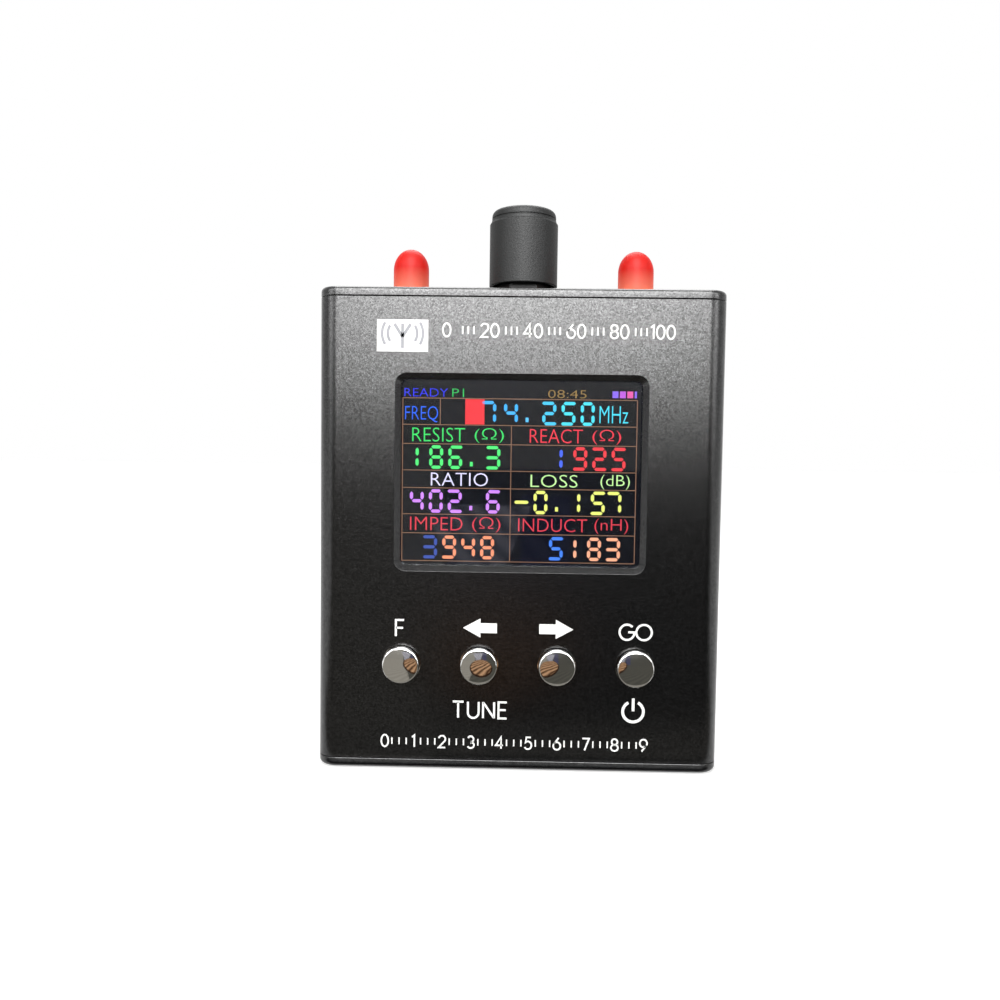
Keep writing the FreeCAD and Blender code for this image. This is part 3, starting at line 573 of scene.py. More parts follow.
def channel_outline(side, settings):
    """Half a channel's section, from its wall's inner middle round to the outer middle."""
    low, high = corners("front_shell")
    half, back = high.x, -low.y
    wall, corner = settings.wall / MM, settings.corner / MM
    parting, lap, slack = 0.25, 1.4, 0.1
    boss, inset = 2.4, SCREW_INSET
    reach = math.sqrt(boss ** 2 - (inset - wall) ** 2)
    bx, by = half - inset, back - inset
    outer = [(half, parting)] + [
        (half - corner + corner * math.cos(a), back - corner + corner * math.sin(a))
        for a in (math.pi / 2 * i / 12 for i in range(13))]
    meet = math.degrees(math.atan2(inset - wall, -reach))
    leave = math.degrees(math.atan2(-reach, inset - wall))
    inner = [(bx + boss * math.cos(a), by + boss * math.sin(a))
             for a in (math.radians(meet + (leave + 360 - meet) * i / 24) for i in range(25))]
    if side < 0:
        board_low, board_high = corners("main_board")
        rail_in, rail = half - wall - 1.7, 1.0
        front, rear = -board_low.y + 0.06, -board_high.y - 0.06
        x = half - wall
        end = [(x, front + rail), (rail_in, front + rail), (rail_in, front), (x, front),
               (x, rear), (rail_in, rear), (rail_in, rear - rail), (x, rear - rail),
               (x, -lap), (x + wall / 2 - slack, -lap), (x + wall / 2 - slack, 0.0)]
    else:
        x = half - wall
        end = [(x, lap + slack), (x + wall / 2, lap + slack), (x + wall / 2, 0.0)]
    path = [(0.0, back - wall)] + inner + end + [(half - parting, 0.0)] + outer + [(0.0, back)]
    return [(x, side * y) for x, y in path]


def channel(name, side, settings):
    """One extruded half of the case, and the screw bores in its corner bosses."""
    low, high = corners("front_shell")
    right = channel_outline(side, settings)
    loop = right + [(-x, y) for x, y in reversed(right[1:-1])]
    form, bores = Form(), Form()
    form.loft([[(x, y, z) for x, y in loop] for z in (low.z, high.z)])
    for x in (low.x + SCREW_INSET, high.x - SCREW_INSET):
        bores.turn([(SCREW_BORE, low.z - 1), (SCREW_BORE, high.z + 1)], x,
                   side * (-low.y - SCREW_INSET), sides=24, shut=False)
    return new_object(name, form.mesh(name), [finish("black_anodised")]), bores


class ANALYZER_OT_channels(Operator):
    """Build the two extruded channels, with the window and the key holes"""
    bl_idname = "analyzer.channels"
    bl_label = "Case Channels"

    def execute(self, context):
        settings = chosen("case")
        low, high = corners("front_shell")
        front, bores = channel("front_channel", -1, settings)
        bevel, wall = settings.window_bevel / MM, settings.wall / MM
        half = settings.window_width / MM / 2, settings.window_height / MM / 2
        corner, centre = settings.window_corner / MM, settings.window_centre / MM
        window = Form()
        rings = []
        for y, grow in ((low.y - 0.4, bevel + 0.4), (low.y + bevel, 0.0),
                        (low.y + wall + 0.5, 0.0)):
            outline = block_outline(half[0] + grow, half[1] + grow, corner + grow, y=centre)
            rings.append([(p.x, y, p.y) for p in outline])
        window.loft(rings)
        holes = Form()
        for key in ("mode", "left", "right", "ok"):
            key_low, key_high = corners(key + "_button")
            x, z = (key_low.x + key_high.x) / 2, (key_low.z + key_high.z) / 2
            radius = chosen("key").radius / MM + settings.key_clearance / MM
            holes.turn([(radius, low.y - 1), (radius, low.y + wall + 0.5)], x, 0, z, "Y",
                       64, shut=False)
        cut(front, bores, window, holes)
        soften(front, settings.edge)
        finish_piece(front, "case", "black_anodised", "front_shell")
        back, bores = channel("back_channel", 1, settings)
        cut(back, bores)
        soften(back, settings.edge)
        finish_piece(back, "case", "black_anodised", "back_shell")
        return {"FINISHED"}


def end_plate(name, node, outward, settings):
    """A milled end plate, with its outer edge rounded and its screws countersunk."""
    low, high = corners("front_shell")
    half, back = high.x, -low.y
    plate_low, plate_high = corners(node)
    face, under = (plate_high.z, plate_low.z) if outward > 0 else (plate_low.z, plate_high.z)
    radius, corner = settings.plate_edge / MM, settings.corner / MM
    seam = settings.seam / MM
    form, rings = Form(), []
    for i in range(9):
        angle = math.pi / 2 * i / 8
        inset = radius * (1 - math.sin(angle))
        outline = block_outline(half - inset, back - inset, corner - inset, 10)
        rings.append([(p.x, p.y, face - outward * radius * (1 - math.cos(angle)))
                      for p in outline])
    for inset, z in ((0.0, under + outward * seam), (seam, under)):
        outline = block_outline(half - inset, back - inset, corner - inset, 10)
        rings.append([(p.x, p.y, z) for p in outline])
    form.loft(rings)
    plate = new_object(name, form.mesh(name), [finish("black_anodised")])
    holes = Form()
    for x in (SCREW_INSET - half, half - SCREW_INSET):
        for y in (SCREW_INSET - back, back - SCREW_INSET):
            holes.turn([(SCREW_SINK + 0.5, outward * 0.6), (SCREW_SINK, 0.0),
                        (SCREW_BORE, -outward * 1.3), (SCREW_BORE, -outward * 3)],
                       x, y, face, sides=40, shut=False)
    return plate, holes, face


class ANALYZER_OT_end_plates(Operator):
    """Build the two milled end plates with their openings"""
    bl_idname = "analyzer.end_plates"
    bl_label = "End Plates"

    def execute(self, context):
        settings = chosen("case")
        plate, holes, face = end_plate("top_cover_plate", "top_end_plate", 1, settings)
        bushing, thread_bore, light = 3.6, 3.275, 0.9
        socket_margin, socket_corner = 0.7, 1.2
        holes.turn([(bushing, 1.0), (bushing, -3.0)], 0, 0, face, sides=48, shut=False)
        for jack in ("sma_jack_left", "sma_jack_right"):
            low, high = corners(jack)
            holes.turn([(thread_bore, 1.0), (thread_bore, -3.0)], (low.x + high.x) / 2, 0,
                       face, sides=48, shut=False)
        cut(plate, holes)
        soften(plate, settings.edge / 2, 44.0)
        finish_piece(plate, "case", "black_anodised", "top_end_plate")

        plate, holes, face = end_plate("bottom_cover_plate", "bottom_end_plate", -1, settings)
        usb_low, usb_high = corners("usb_shell")
        outline = block_outline((usb_high.x - usb_low.x) / 2 + socket_margin,
                                (usb_high.y - usb_low.y) / 2 + socket_margin,
                                socket_corner, y=(usb_low.y + usb_high.y) / 2)
        holes.loft([[(p.x, p.y, z) for p in outline] for z in (-1.0, 3.0)])
        led_low, led_high = corners("charge_led")
        holes.turn([(light, -1.0), (light, 3.0)], (led_low.x + led_high.x) / 2,
                   (led_low.y + led_high.y) / 2, sides=32, shut=False)
        cut(plate, holes)
        soften(plate, settings.edge / 2, 44.0)
        finish_piece(plate, "case", "black_anodised", "bottom_end_plate")
        return {"FINISHED"}


def thread_rings(radius, depth, pitch, z0, z1, x, sides=48):
    """Rings of a screw thread: a rippled cylinder that fades at both ends."""
    rows = max(2, round((z1 - z0) / pitch * 8))
    rings = []
    for row in range(rows + 1):
        z = z0 + (z1 - z0) * row / rows
        fade = min(1.0, (z - z0) / pitch, (z1 - z) / pitch)
        ring = []
        for i in range(sides):
            turn = (z - z0) / pitch - i / sides
            ripple = abs((turn % 1.0) * 2 - 1)
            r = radius - depth * (1 - fade) * 0.6 - depth * ripple * fade
            ring.append((x + r * math.cos(2 * math.pi * i / sides),
                         r * math.sin(2 * math.pi * i / sides), z))
        rings.append(ring)
    return rings


class ANALYZER_OT_plate_screws(Operator):
    """Build the countersunk cross-recess screws of both end plates"""
    bl_idname = "analyzer.plate_screws"
    bl_label = "End Plate Screws"

    def execute(self, context):
        head, shank, thread_end = 2.3, 1.16, -8.0
        profile = [(0.02, 0.0), (head - 0.06, 0.0), (head, -0.06), (shank + 0.06, -1.3),
                   (shank, thread_end + 0.3), (shank - 0.26, thread_end), (0.02, thread_end)]
        # Half length, half width and height of the recess at its mouth and at its floor.
        recess = ((1.43, 0.3, 0.3), (0.65, 0.19, -0.95))
        square = ((-1, -1), (1, -1), (1, 1), (-1, 1))
        for node, outward in (("top_plate_screws", 1), ("bottom_plate_screws", -1)):
            low, high = corners(node)
            face = high.z if outward > 0 else low.z
            shape, wings = Form(), (Form(), Form())
            for x in (low.x + head, high.x - head):
                for y in (low.y + head, high.y - head):
                    shape.turn([(radius, height * outward) for radius, height in profile],
                               x, y, face, sides=40, shut=False)
                    for turned, wing in enumerate(wings):
                        rings = []
                        for reach, half, height in recess:
                            a, b = (half, reach) if turned else (reach, half)
                            rings.append([(x + i * a, y + j * b, face + outward * height)
                                          for i, j in square])
                        wing.loft(rings)
            piece = new_object(node.replace("_plate", "_cover"), shape.mesh(node),
                               [finish("black_screw_steel")])
            cut(piece, *wings)
            soften(piece, 0.0)
            finish_piece(piece, "case", "black_screw_steel", node)
        return {"FINISHED"}


# ---- Print ----
# Thin round-shouldered capitals and figures: width, then the strokes, for a height of 1.
GLYPHS = {
    "F": (0.5, [[(0, 0), (0, 1), (0.5, 1)], [(0, 0.52), (0.44, 0.52)]]),
    "G": (0.94, [arc(0.48, 0.5, 0.48, 0.5, 44, 360, 30) + [(0.56, 0.5)]]),
    "O": (1.0, [arc(0.5, 0.5, 0.5, 0.5, 0, 348, 29)]),
    "T": (0.66, [[(0, 1), (0.66, 1)], [(0.33, 0), (0.33, 1)]]),
    "U": (0.66, [[(0, 1)] + arc(0.33, 0.33, 0.33, 0.33, 180, 360) + [(0.66, 1)]]),
    "N": (0.68, [[(0, 0), (0, 1)], [(0.03, 0.96), (0.65, 0.04)], [(0.68, 0), (0.68, 1)]]),
    "E": (0.5, [[(0.5, 0), (0, 0), (0, 1), (0.5, 1)], [(0, 0.52), (0.44, 0.52)]]),
    "0": (0.58, [arc(0.29, 0.5, 0.29, 0.5, 0, 348, 29)]),
    "1": (0.24, [[(0, 0.84), (0.2, 1), (0.2, 0)]]),
    "2": (0.56, [arc(0.28, 0.72, 0.28, 0.28, 165, -38) + [(0, 0), (0.56, 0)]]),
    "3": (0.54, [arc(0.27, 0.75, 0.24, 0.25, 155, -90) + arc(0.27, 0.25, 0.28, 0.25, 90, -155)]),
    "4": (0.6, [[(0.44, 0), (0.44, 1), (0, 0.28), (0.6, 0.28)]]),
    "5": (0.56, [[(0.5, 1), (0.14, 1), (0.06, 0.56)] + arc(0.26, 0.33, 0.3, 0.33, 115, -150)]),
    "6": (0.6, [[(0.44, 1)] + arc(0.3, 0.32, 0.3, 0.32, 150, 510, 28)]),
    "7": (0.56, [[(0, 1), (0.56, 1), (0.18, 0)]]),
    "8": (0.58, [arc(0.29, 0.76, 0.24, 0.24, 270, 618, 24),
                 arc(0.29, 0.26, 0.29, 0.26, 90, 438, 26)]),
    "9": (0.6, [[(0.16, 0)] + arc(0.3, 0.68, 0.3, 0.32, -30, 330, 28)]),
}
SHUT_GLYPHS = "O0"


def write(form, text, x, z, height, width, y0, y1, gap=0.2):
    """Draw a legend with its middle at (x, z)."""
    total = sum(GLYPHS[c][0] for c in text) + gap * (len(text) - 1)
    pen = x - total * height / 2
    for character in text:
        across, strokes = GLYPHS[character]
        for path in strokes:
            placed = [(pen + px * height, z + (py - 0.5) * height) for px, py in path]
            form.stroke(placed, width, y0, y1, character in SHUT_GLYPHS)
        pen += (across + gap) * height


class ANALYZER_OT_legends(Operator):
    """Print the key legends, the plain number scales and the white patch"""
    bl_idname = "analyzer.legends"
    bl_label = "Printed Legends"

    def execute(self, context):
        settings = chosen("print")
        face = corners("front_shell")[0].y
        y0, y1 = face - settings.film / MM, face + 0.01
        pen = settings.stroke / MM
        white = Form()
        write(white, "F", -24.6, 29.6, 3.4, pen, y0, y1)
        write(white, "GO", 24.3, 29.55, 3.2, pen, y0, y1, 0.14)
        write(white, "TUNE", -7.8, 12.65, 3.4, pen, y0, y1, 0.27)
        for middle, point in ((-7.95, -1), (7.87, 1)):
            tip, tail, neck = middle + 3.53 * point, middle - 3.53 * point, middle - 0.1 * point
            white.plate([(tip, 29.9), (neck, 31.9), (neck, 30.93), (tail, 30.93),
                         (tail, 28.87), (neck, 28.87), (neck, 27.9)], y0, y1)
        white.stroke(arc(24.1, 12.9, 2.15, 2.15, 118, 422, 32), 0.58, y0, y1)
        white.stroke([(24.1, 13.0), (24.1, 15.7)], 0.58, y0, y1)
        for i in range(6):
            write(white, str(i * 20), -15.5 + i * 8.8, 91.2, 2.7, 0.33, y0, y1)
            if i < 5:
                for step in (1, 2, 3):
                    tick = -15.5 + (i + 0.24 + step * 0.13) * 8.8
                    white.stroke([(tick, 90.4), (tick, 92.0)], 0.3, y0, y1)
        for i in range(10):
            write(white, str(i), -27.6 + i * 6.0, 5.8, 2.5, 0.34, y0, y1)
            if i < 9:
                for step in (1, 2, 3):
                    tick = -27.6 + (i + step * 0.25) * 6.0
                    white.stroke([(tick, 5.1), (tick, 6.5)], 0.28, y0, y1)
        white.plate([(-29.8, 86.7), (-19.3, 86.7), (-19.3, 93.2), (-29.8, 93.2)], y0, y1)
        ink, mark = tuple(settings.ink), tuple(settings.mark)
        build(white, "printed_legends", "case", "black_anodised",
              finishes=[screen_print("screen_printed_white_epoxy_ink", ink)])
        grey = Form()
        y2 = y0 - settings.film / MM / 2
        grey.stroke([(-24.55, 87.4), (-24.55, 92.4)], 0.62, y2, y0)
        for tip in (-26.2, -22.9):
            grey.stroke([(tip, 92.3), (-24.55, 89.7)], 0.62, y2, y0)
        for sign in (-1, 1):
            for radius in (3.0, 4.2):
                first = 0 if sign > 0 else 180
                grey.stroke(arc(-24.55, 90.4, radius, radius, first - 32, first + 32, 10),
                            0.55, y2, y0)
        build(grey, "printed_sign", "case", "black_anodised",
              finishes=[screen_print("screen_printed_grey_epoxy_ink", mark)])
        return {"FINISHED"}


# ---- Display ----
SEGMENTS = {
    "0": "abcdef", "1": "bc", "2": "abged", "3": "abgcd", "4": "fgbc", "5": "afgcd",
    "6": "afgedc", "7": "abc", "8": "abcdefg", "9": "abcdfg", "-": "g",
}


def digit_outlines(character):
    """Outlines of a digit's lit segments, in dots about its middle, up the screen."""
    if character == ".":
        return [[(-2, -12), (2, -12), (2, -6), (-2, -6)]]
    lit = SEGMENTS[character]
    half, near, far = 2.2, 6.2, 9.4
    outlines = []
    for name, level, left, right in (("a", 13.8, "f", "b"), ("g", 0.0, "fe", "bc"),
                                     ("d", -13.8, "e", "c")):
        if name in lit:
            x0 = -near if any(s in lit for s in left) else -far
            x1 = near if any(s in lit for s in right) else far
            outlines.append([(x0 - 0.5, level), (x0 + 1.5, level + half), (x1 - 1.5, level + half),
                             (x1 + 0.5, level), (x1 - 1.5, level - half),
                             (x0 + 1.5, level - half)])
    for name, x, low, high in (("f", -7.3, 2.2, 11.9), ("b", 7.3, 2.2, 11.9),
                               ("e", -7.3, -11.9, -2.2), ("c", 7.3, -11.9, -2.2)):
        if name in lit:
            x = 0.0 if character == "1" else x
            outlines.append([(x, low - 0.6), (x + half, low + 1.8), (x + half, high - 1.8),
                             (x, high + 0.6), (x - half, high - 1.8), (x - half, low + 1.8)])
    return outlines


# Rows of large figures: middle column of the first, middle row, text and a colour for each.
READINGS = (
    (122, 35, "74.250", ("#46B4FF", "#46B4FF", "#5CC4FF", "#4CCBF8", "#4FE0F5", "#4FE0F5")),
    (21, 96, "186.3", ("#54F07A",) * 5),
    (217, 96, "1925", ("#4A6BFA", "#F04048", "#F04048", "#F04048")),
    (21, 156, "402.6", ("#D68CFF",) * 5),
    (164, 156, "-0.157", ("#F0F57A",) * 6),
    (40, 219, "3948", ("#3F55A8", "#FF9A70", "#FF9A70", "#FF9A70")),
    (212, 219, "5183", ("#4A86F5", "#FFB08A", "#FFB08A", "#FFB08A")),
)
# Words: first and last column, top and bottom row, text and colour.
WORDS = (
    (4, 49, 27, 49, "FREQ", "#2A66F0"), (268, 307, 24, 47, "MHz", "#4FE0F5"),
    (14, 86, 56, 75, "RESIST", "#3FE06A"), (99, 139, 56, 76, "(Ω)", "#3FE06A"),
    (174, 246, 56, 75, "REACT", "#F03C4C"), (259, 298, 56, 76, "(Ω)", "#F03C4C"),
    (40, 118, 117, 135, "RATIO", "#E6E0FF"), (176, 240, 118, 135, "LOSS", "#C8F5A0"),
    (271, 311, 117, 137, "(dB)", "#C8F5A0"), (12, 84, 178, 196, "IMPED", "#E0404E"),
    (97, 136, 177, 198, "(Ω)", "#E0404E"), (160, 254, 178, 196, "INDUCT", "#E0404E"),
    (264, 310, 177, 198, "(nH)", "#E0404E"), (3, 62, 3, 14, "READY", "#3038F0"),
    (68, 84, 3, 14, "P1", "#2FC25A"), (198, 250, 3, 14, "08:45", "#9A7B45"),
)


def word_outline_mesh(text):
    """A word's flat faces from the built-in font, as points and faces."""
    curve = bpy.data.curves.new("word", "FONT")
    curve.body, curve.offset, curve.resolution_u = text, -0.013, 3
    holder = bpy.data.objects.new("word", curve)
    bpy.context.scene.collection.objects.link(holder)
    ready = holder.evaluated_get(bpy.context.evaluated_depsgraph_get())
    mesh = bpy.data.meshes.new_from_object(ready)
    points = [(v.co.x, v.co.y) for v in mesh.vertices]
    faces = [tuple(p.vertices) for p in mesh.polygons]
    bpy.data.objects.remove(holder)
    bpy.data.meshes.remove(mesh)
    return points, faces


class ANALYZER_OT_display(Operator):
    """Build the clear window and everything the display shows"""
    bl_idname = "analyzer.display"
    bl_label = "Window and Display"

    def execute(self, context):
        settings = chosen("display")
        low, high = corners("window_lens")
        lens_corner, edge_break = 1.3, 0.06
        outline = block_outline((high.x - low.x) / 2, (high.z - low.z) / 2, lens_corner,
                                y=(low.z + high.z) / 2)
        lens = Form()
        lens.plate([tuple(p) for p in outline], low.y, high.y - edge_break)
        build(lens, "front_window", "case", "clear_lens", ["window_lens"], edge_break)

        dot = settings.dot / MM
        left, top = -settings.centre_x / MM - 160 * dot, settings.centre_z / MM + 120 * dot
        glass_y = corners("lcd_glass")[0].y
        y0, y1 = glass_y - 0.035, glass_y - 0.005

        def spot(column, row):
            return left + column * dot, top - row * dot

        codes, form = [], Form()

        def number(code):
            if code not in codes:
                codes.append(code)
            return codes.index(code)

        rule = "#8A6650"
        for row in (16, 52, 78, 114, 138, 174, 200, 238):
            form.stroke([spot(1, row), spot(319, row)], dot * 1.1, y0, y1, finish=number(rule))
        for column, first, last in ((1, 16, 238), (319, 16, 238), (149, 52, 238), (52, 16, 52)):
            form.stroke([spot(column, first), spot(column, last)], dot * 1.1, y0, y1,
                        finish=number(rule))
        form.plate([spot(86, 17), spot(112, 17), spot(112, 51), spot(86, 51)], y0, y1,
                   number("#F83C44"))
        for column, row, text, colours in READINGS:
            for i, (character, code) in enumerate(zip(text, colours)):
                shift = {"7": -3.5, ".": -4.0}.get(character, 0.0)
                for path in digit_outlines(character):
                    form.plate([spot(column + 26 * i + shift + x, row - up) for x, up in path],
                               y0, y1, number(code))
        for first, last, high_row, low_row, text, code in WORDS:
            points, faces = word_outline_mesh(text)
            xs, ys = [p[0] for p in points], [p[1] for p in points]
            across = (last - first) / (max(xs) - min(xs))
            up = (low_row - high_row) / (max(ys) - min(ys))
            start = len(form.points)
            for x, y in points:
                px, pz = spot(first + (x - min(xs)) * across, low_row - (y - min(ys)) * up)
                form.points.append((px, y0, pz))
            for face in faces:
                form.faces.append(tuple(start + i for i in face))
                form.finishes.append(number(code))
        for first, last, code in ((285, 293, "#8E6BE8"), (295, 303, "#C061D8"),
                                  (305, 313, "#E55FA8"), (315, 318, "#8E6BE8")):
            form.plate([spot(first, 4), spot(last, 4), spot(last, 13), spot(first, 13)],
                       y0, y1, number(code))
        build(form, "display_readout", "case", "lcd_panel",
              finishes=[lit_dots(code) for code in codes])
        return {"FINISHED"}


# ---- Keys, knob and what stands on the top plate ----
class ANALYZER_OT_keys(Operator):
    """Build the four plated keys"""
    bl_idname = "analyzer.keys"
    bl_label = "Keys"

    def execute(self, context):
        settings = chosen("key")
        radius, crown = settings.radius / MM, settings.crown / MM
        rim, flange = settings.rim / MM, settings.flange / MM
        face = radius - rim
        lean = math.atan(2 * crown / face)
        bead = rim / (1 - math.sin(lean))
        brim, chamfer = 4.7, 0.08
        for key in ("mode", "left", "right", "ok"):
            low, high = corners(key + "_button")
            x, z = (low.x + high.x) / 2, (low.z + high.z) / 2
            profile = [(max(face * i / 12, 0.01), low.y + crown * (i / 12) ** 2)
                       for i in range(13)]
            for i in range(1, 9):
                angle = lean + (math.pi / 2 - lean) * i / 8
                profile.append((face + bead * (math.sin(angle) - math.sin(lean)),
                                low.y + crown + bead * (math.cos(lean) - math.cos(angle))))
            profile += [(radius, high.y - flange), (brim - chamfer, high.y - flange),
                        (brim, high.y - flange + chamfer), (brim, high.y - chamfer),
                        (brim - chamfer, high.y), (0.01, high.y)]
            form = Form()
            form.turn(profile, x, 0, z, "Y", 96, shut=False)
            build(form, key + "_key_cap", key + "_button_body", "bright_chrome",
                  [key + "_button"], angle=24.0)
        return {"FINISHED"}


class ANALYZER_OT_knob(Operator):
    """Build the moulded tuning knob"""
    bl_idname = "analyzer.knob"
    bl_label = "Tuning Knob"

    def execute(self, context):
        settings = chosen("knob")
        low, high = corners("tuning_knob")
        shaft_end = corners("encoder_shaft")[1].z + 0.02
        radius, band, step = (v / MM for v in (settings.radius, settings.band, settings.step))
        groove, shoulder = settings.groove / MM, settings.shoulder / MM
        recess, depth = settings.recess / MM, settings.recess_depth / MM
        bottom, top = low.z, high.z
        neck, lip = radius - step, radius - step - 0.12
        line = top - band + 0.55
        profile = rounded(
            [(recess, bottom), (radius, bottom), (radius, top - band - 0.35),
             (neck + 0.08, top - band + 0.1), (neck, line), (neck - 0.22, line + 0.08),
             (neck - 0.22, line + groove - 0.08), (neck - 0.04, line + groove),
             (lip, top), (0.01, top), (0.01, shaft_end), (3.05, shaft_end),
             (3.05, bottom + depth), (recess, bottom + depth)],
            [0.15, 0.2, 0.3, 0.2, 0.05, 0.03, 0.03, 0.05, shoulder, 0, 0, 0, 0, 0.3])
        form = Form()
        form.turn([tuple(p) for p in profile], sides=120)
        build(form, "knob_moulding", "tuning_knob", "charcoal_knob", ["tuning_knob"])
        return {"FINISHED"}


class ANALYZER_OT_caps(Operator):
    """Build the two soft dust caps"""
    bl_idname = "analyzer.caps"
    bl_label = "Dust Caps"

    def execute(self, context):
        settings = chosen("cap")
        dome, bore, end = (v / MM for v in (settings.dome, settings.bore, settings.end))
        for side in ("left", "right"):
            low, high = corners("dust_cap_" + side)
            radius = (high.x - low.x) / 2
            shoulder, room = high.z - dome, high.z - end - 1.6
            outside = rounded([(bore, low.z), (radius, low.z), (radius, shoulder)],
                              [0, 0.22, 0], 5, False)
            outside += arc(0, shoulder, radius, dome, 0, 89.8, 22)[1:]
            inside = arc(0, room, bore, 1.6, 89.8, 0, 10)
            form = Form()
            form.turn([tuple(p) for p in outside] + inside, (low.x + high.x) / 2, 0, sides=80)
            build(form, "soft_cap_" + side, "dust_cap_" + side, "red_vinyl",
                  ["dust_cap_" + side])
        return {"FINISHED"}


def hex_rings(flats, z0, z1, x, y, bore, sides=96):
    """Rings of a hexagonal nut with both faces chamfered, from bore round to bore."""
    corner = flats / math.sqrt(3)
    levels = [z0 + (z1 - z0) * t for t in (0, 0.06, 0.12, 0.2, 0.8, 0.88, 0.94, 1)]
    rings = [circle(bore, z0, x, y, sides)]
    for z in levels:
        edge = min(z - z0, z1 - z)
        ring = []
        for i in range(sides):
            angle = 2 * math.pi * i / sides
            fold = (angle + math.pi / 6) % (math.pi / 3) - math.pi / 6
            straight = flats / 2 / math.cos(abs(abs(fold) - math.pi / 6))
            r = min(straight, flats / 2 + (corner - flats / 2) * 0.25 + edge * 1.7)
            ring.append((x + r * math.cos(angle), y + r * math.sin(angle), z))
        rings.append(ring)
    rings.append(circle(bore, z1, x, y, sides))
    return rings


class ANALYZER_OT_jacks(Operator):
    """Build the threaded jacks and the nuts and washers on the top plate"""
    bl_idname = "analyzer.jacks"
    bl_label = "Jacks and Hardware"

    def execute(self, context):
        nuts, washers = Form(), Form()
        nut_low, nut_high = corners("sma_nuts")
        washer_low, washer_high = corners("sma_washers")
        plate = corners("top_end_plate")[0].z
        flats, mouth, nut_bore, knob_bore = 8.0, 2.3, 3.235, 3.56
        for side in ("left", "right"):
            low, high = corners("sma_jack_" + side)
            x = (low.x + high.x) / 2
            form = Form()
            form.loft(hex_rings(flats, plate - 2.0, plate, x, 0, 3.0), ends=None)
            form.turn([(0.72, low.z), (2.3, low.z), (2.3, plate - 2.0), (2.05, plate - 2.0),
                       (2.05, low.z + 1.2), (0.72, low.z + 1.2)], x, 0, sides=48)
            rings = [circle(r, plate, x) for r in (2.06, 3.0)]
            rings += thread_rings(3.175, 0.38, 0.7056, plate, high.z - 0.25, x)
            rings += [circle(r, high.z, x) for r in (2.75, mouth)]
            rings += [circle(r, high.z - 1.9, x) for r in (mouth, 2.06)]
            form.loft(rings, ends=None)
            build(form, "threaded_jack_" + side, "case", "gold_plated_brass",
                  ["sma_jack_" + side], angle=30.0)
            nuts.loft(hex_rings(flats, nut_low.z, nut_high.z, x, 0, nut_bore), ends=None)
            washers.turn([tuple(p) for p in rounded(
                [(nut_bore, washer_low.z), (4.7, washer_low.z), (4.7, washer_high.z),
                 (nut_bore, washer_high.z)], 0.1, 3)], x, 0)
        build(nuts, "jack_nuts", "case", "gold_plated_brass", ["sma_nuts"])
        build(washers, "jack_washers", "case", "gold_plated_brass", ["sma_washers"])
        low, high = corners("encoder_nut")
        nut = Form()
        nut.loft(hex_rings(10.0, low.z, high.z, 0, 0, knob_bore), ends=None)
        build(nut, "knob_nut", "case", "black_screw_steel", ["encoder_nut"])
        low, high = corners("encoder_washer")
        washer = Form()
        washer.turn([tuple(p) for p in rounded(
            [(knob_bore, low.z), (5.7, low.z), (5.7, high.z), (knob_bore, high.z)], 0.1, 3)])
        build(washer, "knob_washer", "case", "black_screw_steel", ["encoder_washer"])
        return {"FINISHED"}


class ANALYZER_OT_inner_parts(Operator):
    """Give every frame node that stays visible its own finish"""
    bl_idname = "analyzer.inner_parts"
    bl_label = "Inner Parts"

    def execute(self, context):
        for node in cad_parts.values():
            for place in node.material_slots:
                slot = place.material.name.split(".")[0]
                if slot in FINISHES:
                    place.material = finish(slot)
                elif place.material not in _made.values():
                    raise RuntimeError("no finish for " + slot)
        return {"FINISHED"}


# ---- Stage ----
def lamp(name, spot, aim, width, height, power, seen_by_diffuse=True):
    """A rectangular softbox that points at a place."""
    light = bpy.data.lights.new(name, "AREA")
    light.shape, light.size, light.size_y, light.energy = "RECTANGLE", width, height, power
    holder = bpy.data.objects.new(name, light)
    bpy.context.scene.collection.objects.link(holder)
    holder.location = spot
    holder.rotation_euler = (Vector(aim) - Vector(spot)).to_track_quat("-Z", "Y").to_euler()
    holder.visible_diffuse = seen_by_diffuse
    return holder


def white_where_seen(tree, shade, dim, bright):
    """Mix a dim and a bright strength by whether the eye, a mirror or glass looks."""
    rays = add(tree, "ShaderNodeLightPath")
    seen = add(tree, "ShaderNodeMath", {"operation": "MAXIMUM"},
               {0: rays.outputs["Is Camera Ray"], 1: rays.outputs["Is Glossy Ray"]})
    seen = add(tree, "ShaderNodeMath", {"operation": "MAXIMUM"},
               {0: seen.outputs[0], 1: rays.outputs["Is Transmission Ray"]})
    strength = add(tree, "ShaderNodeMapRange", {"To Min": dim, "To Max": bright},
                   {"Value": seen.outputs[0]})
    tree.links.new(strength.outputs["Result"], shade)


def upright(x0, x1, z0, z1, y):
    """Outline of a card that stands across the view."""
    return [(x0, y, z0), (x1, y, z0), (x1, y, z1), (x0, y, z1)]


def flat(points, z):
    """Outline of a card that lies over the floor."""
    return [(x, y, z) for x, y in points]


def rising(points, height):
    """Outline of a card that rises with its distance from the case, one part in five."""
    return [(x, y, height - y / 5) for x, y in points]


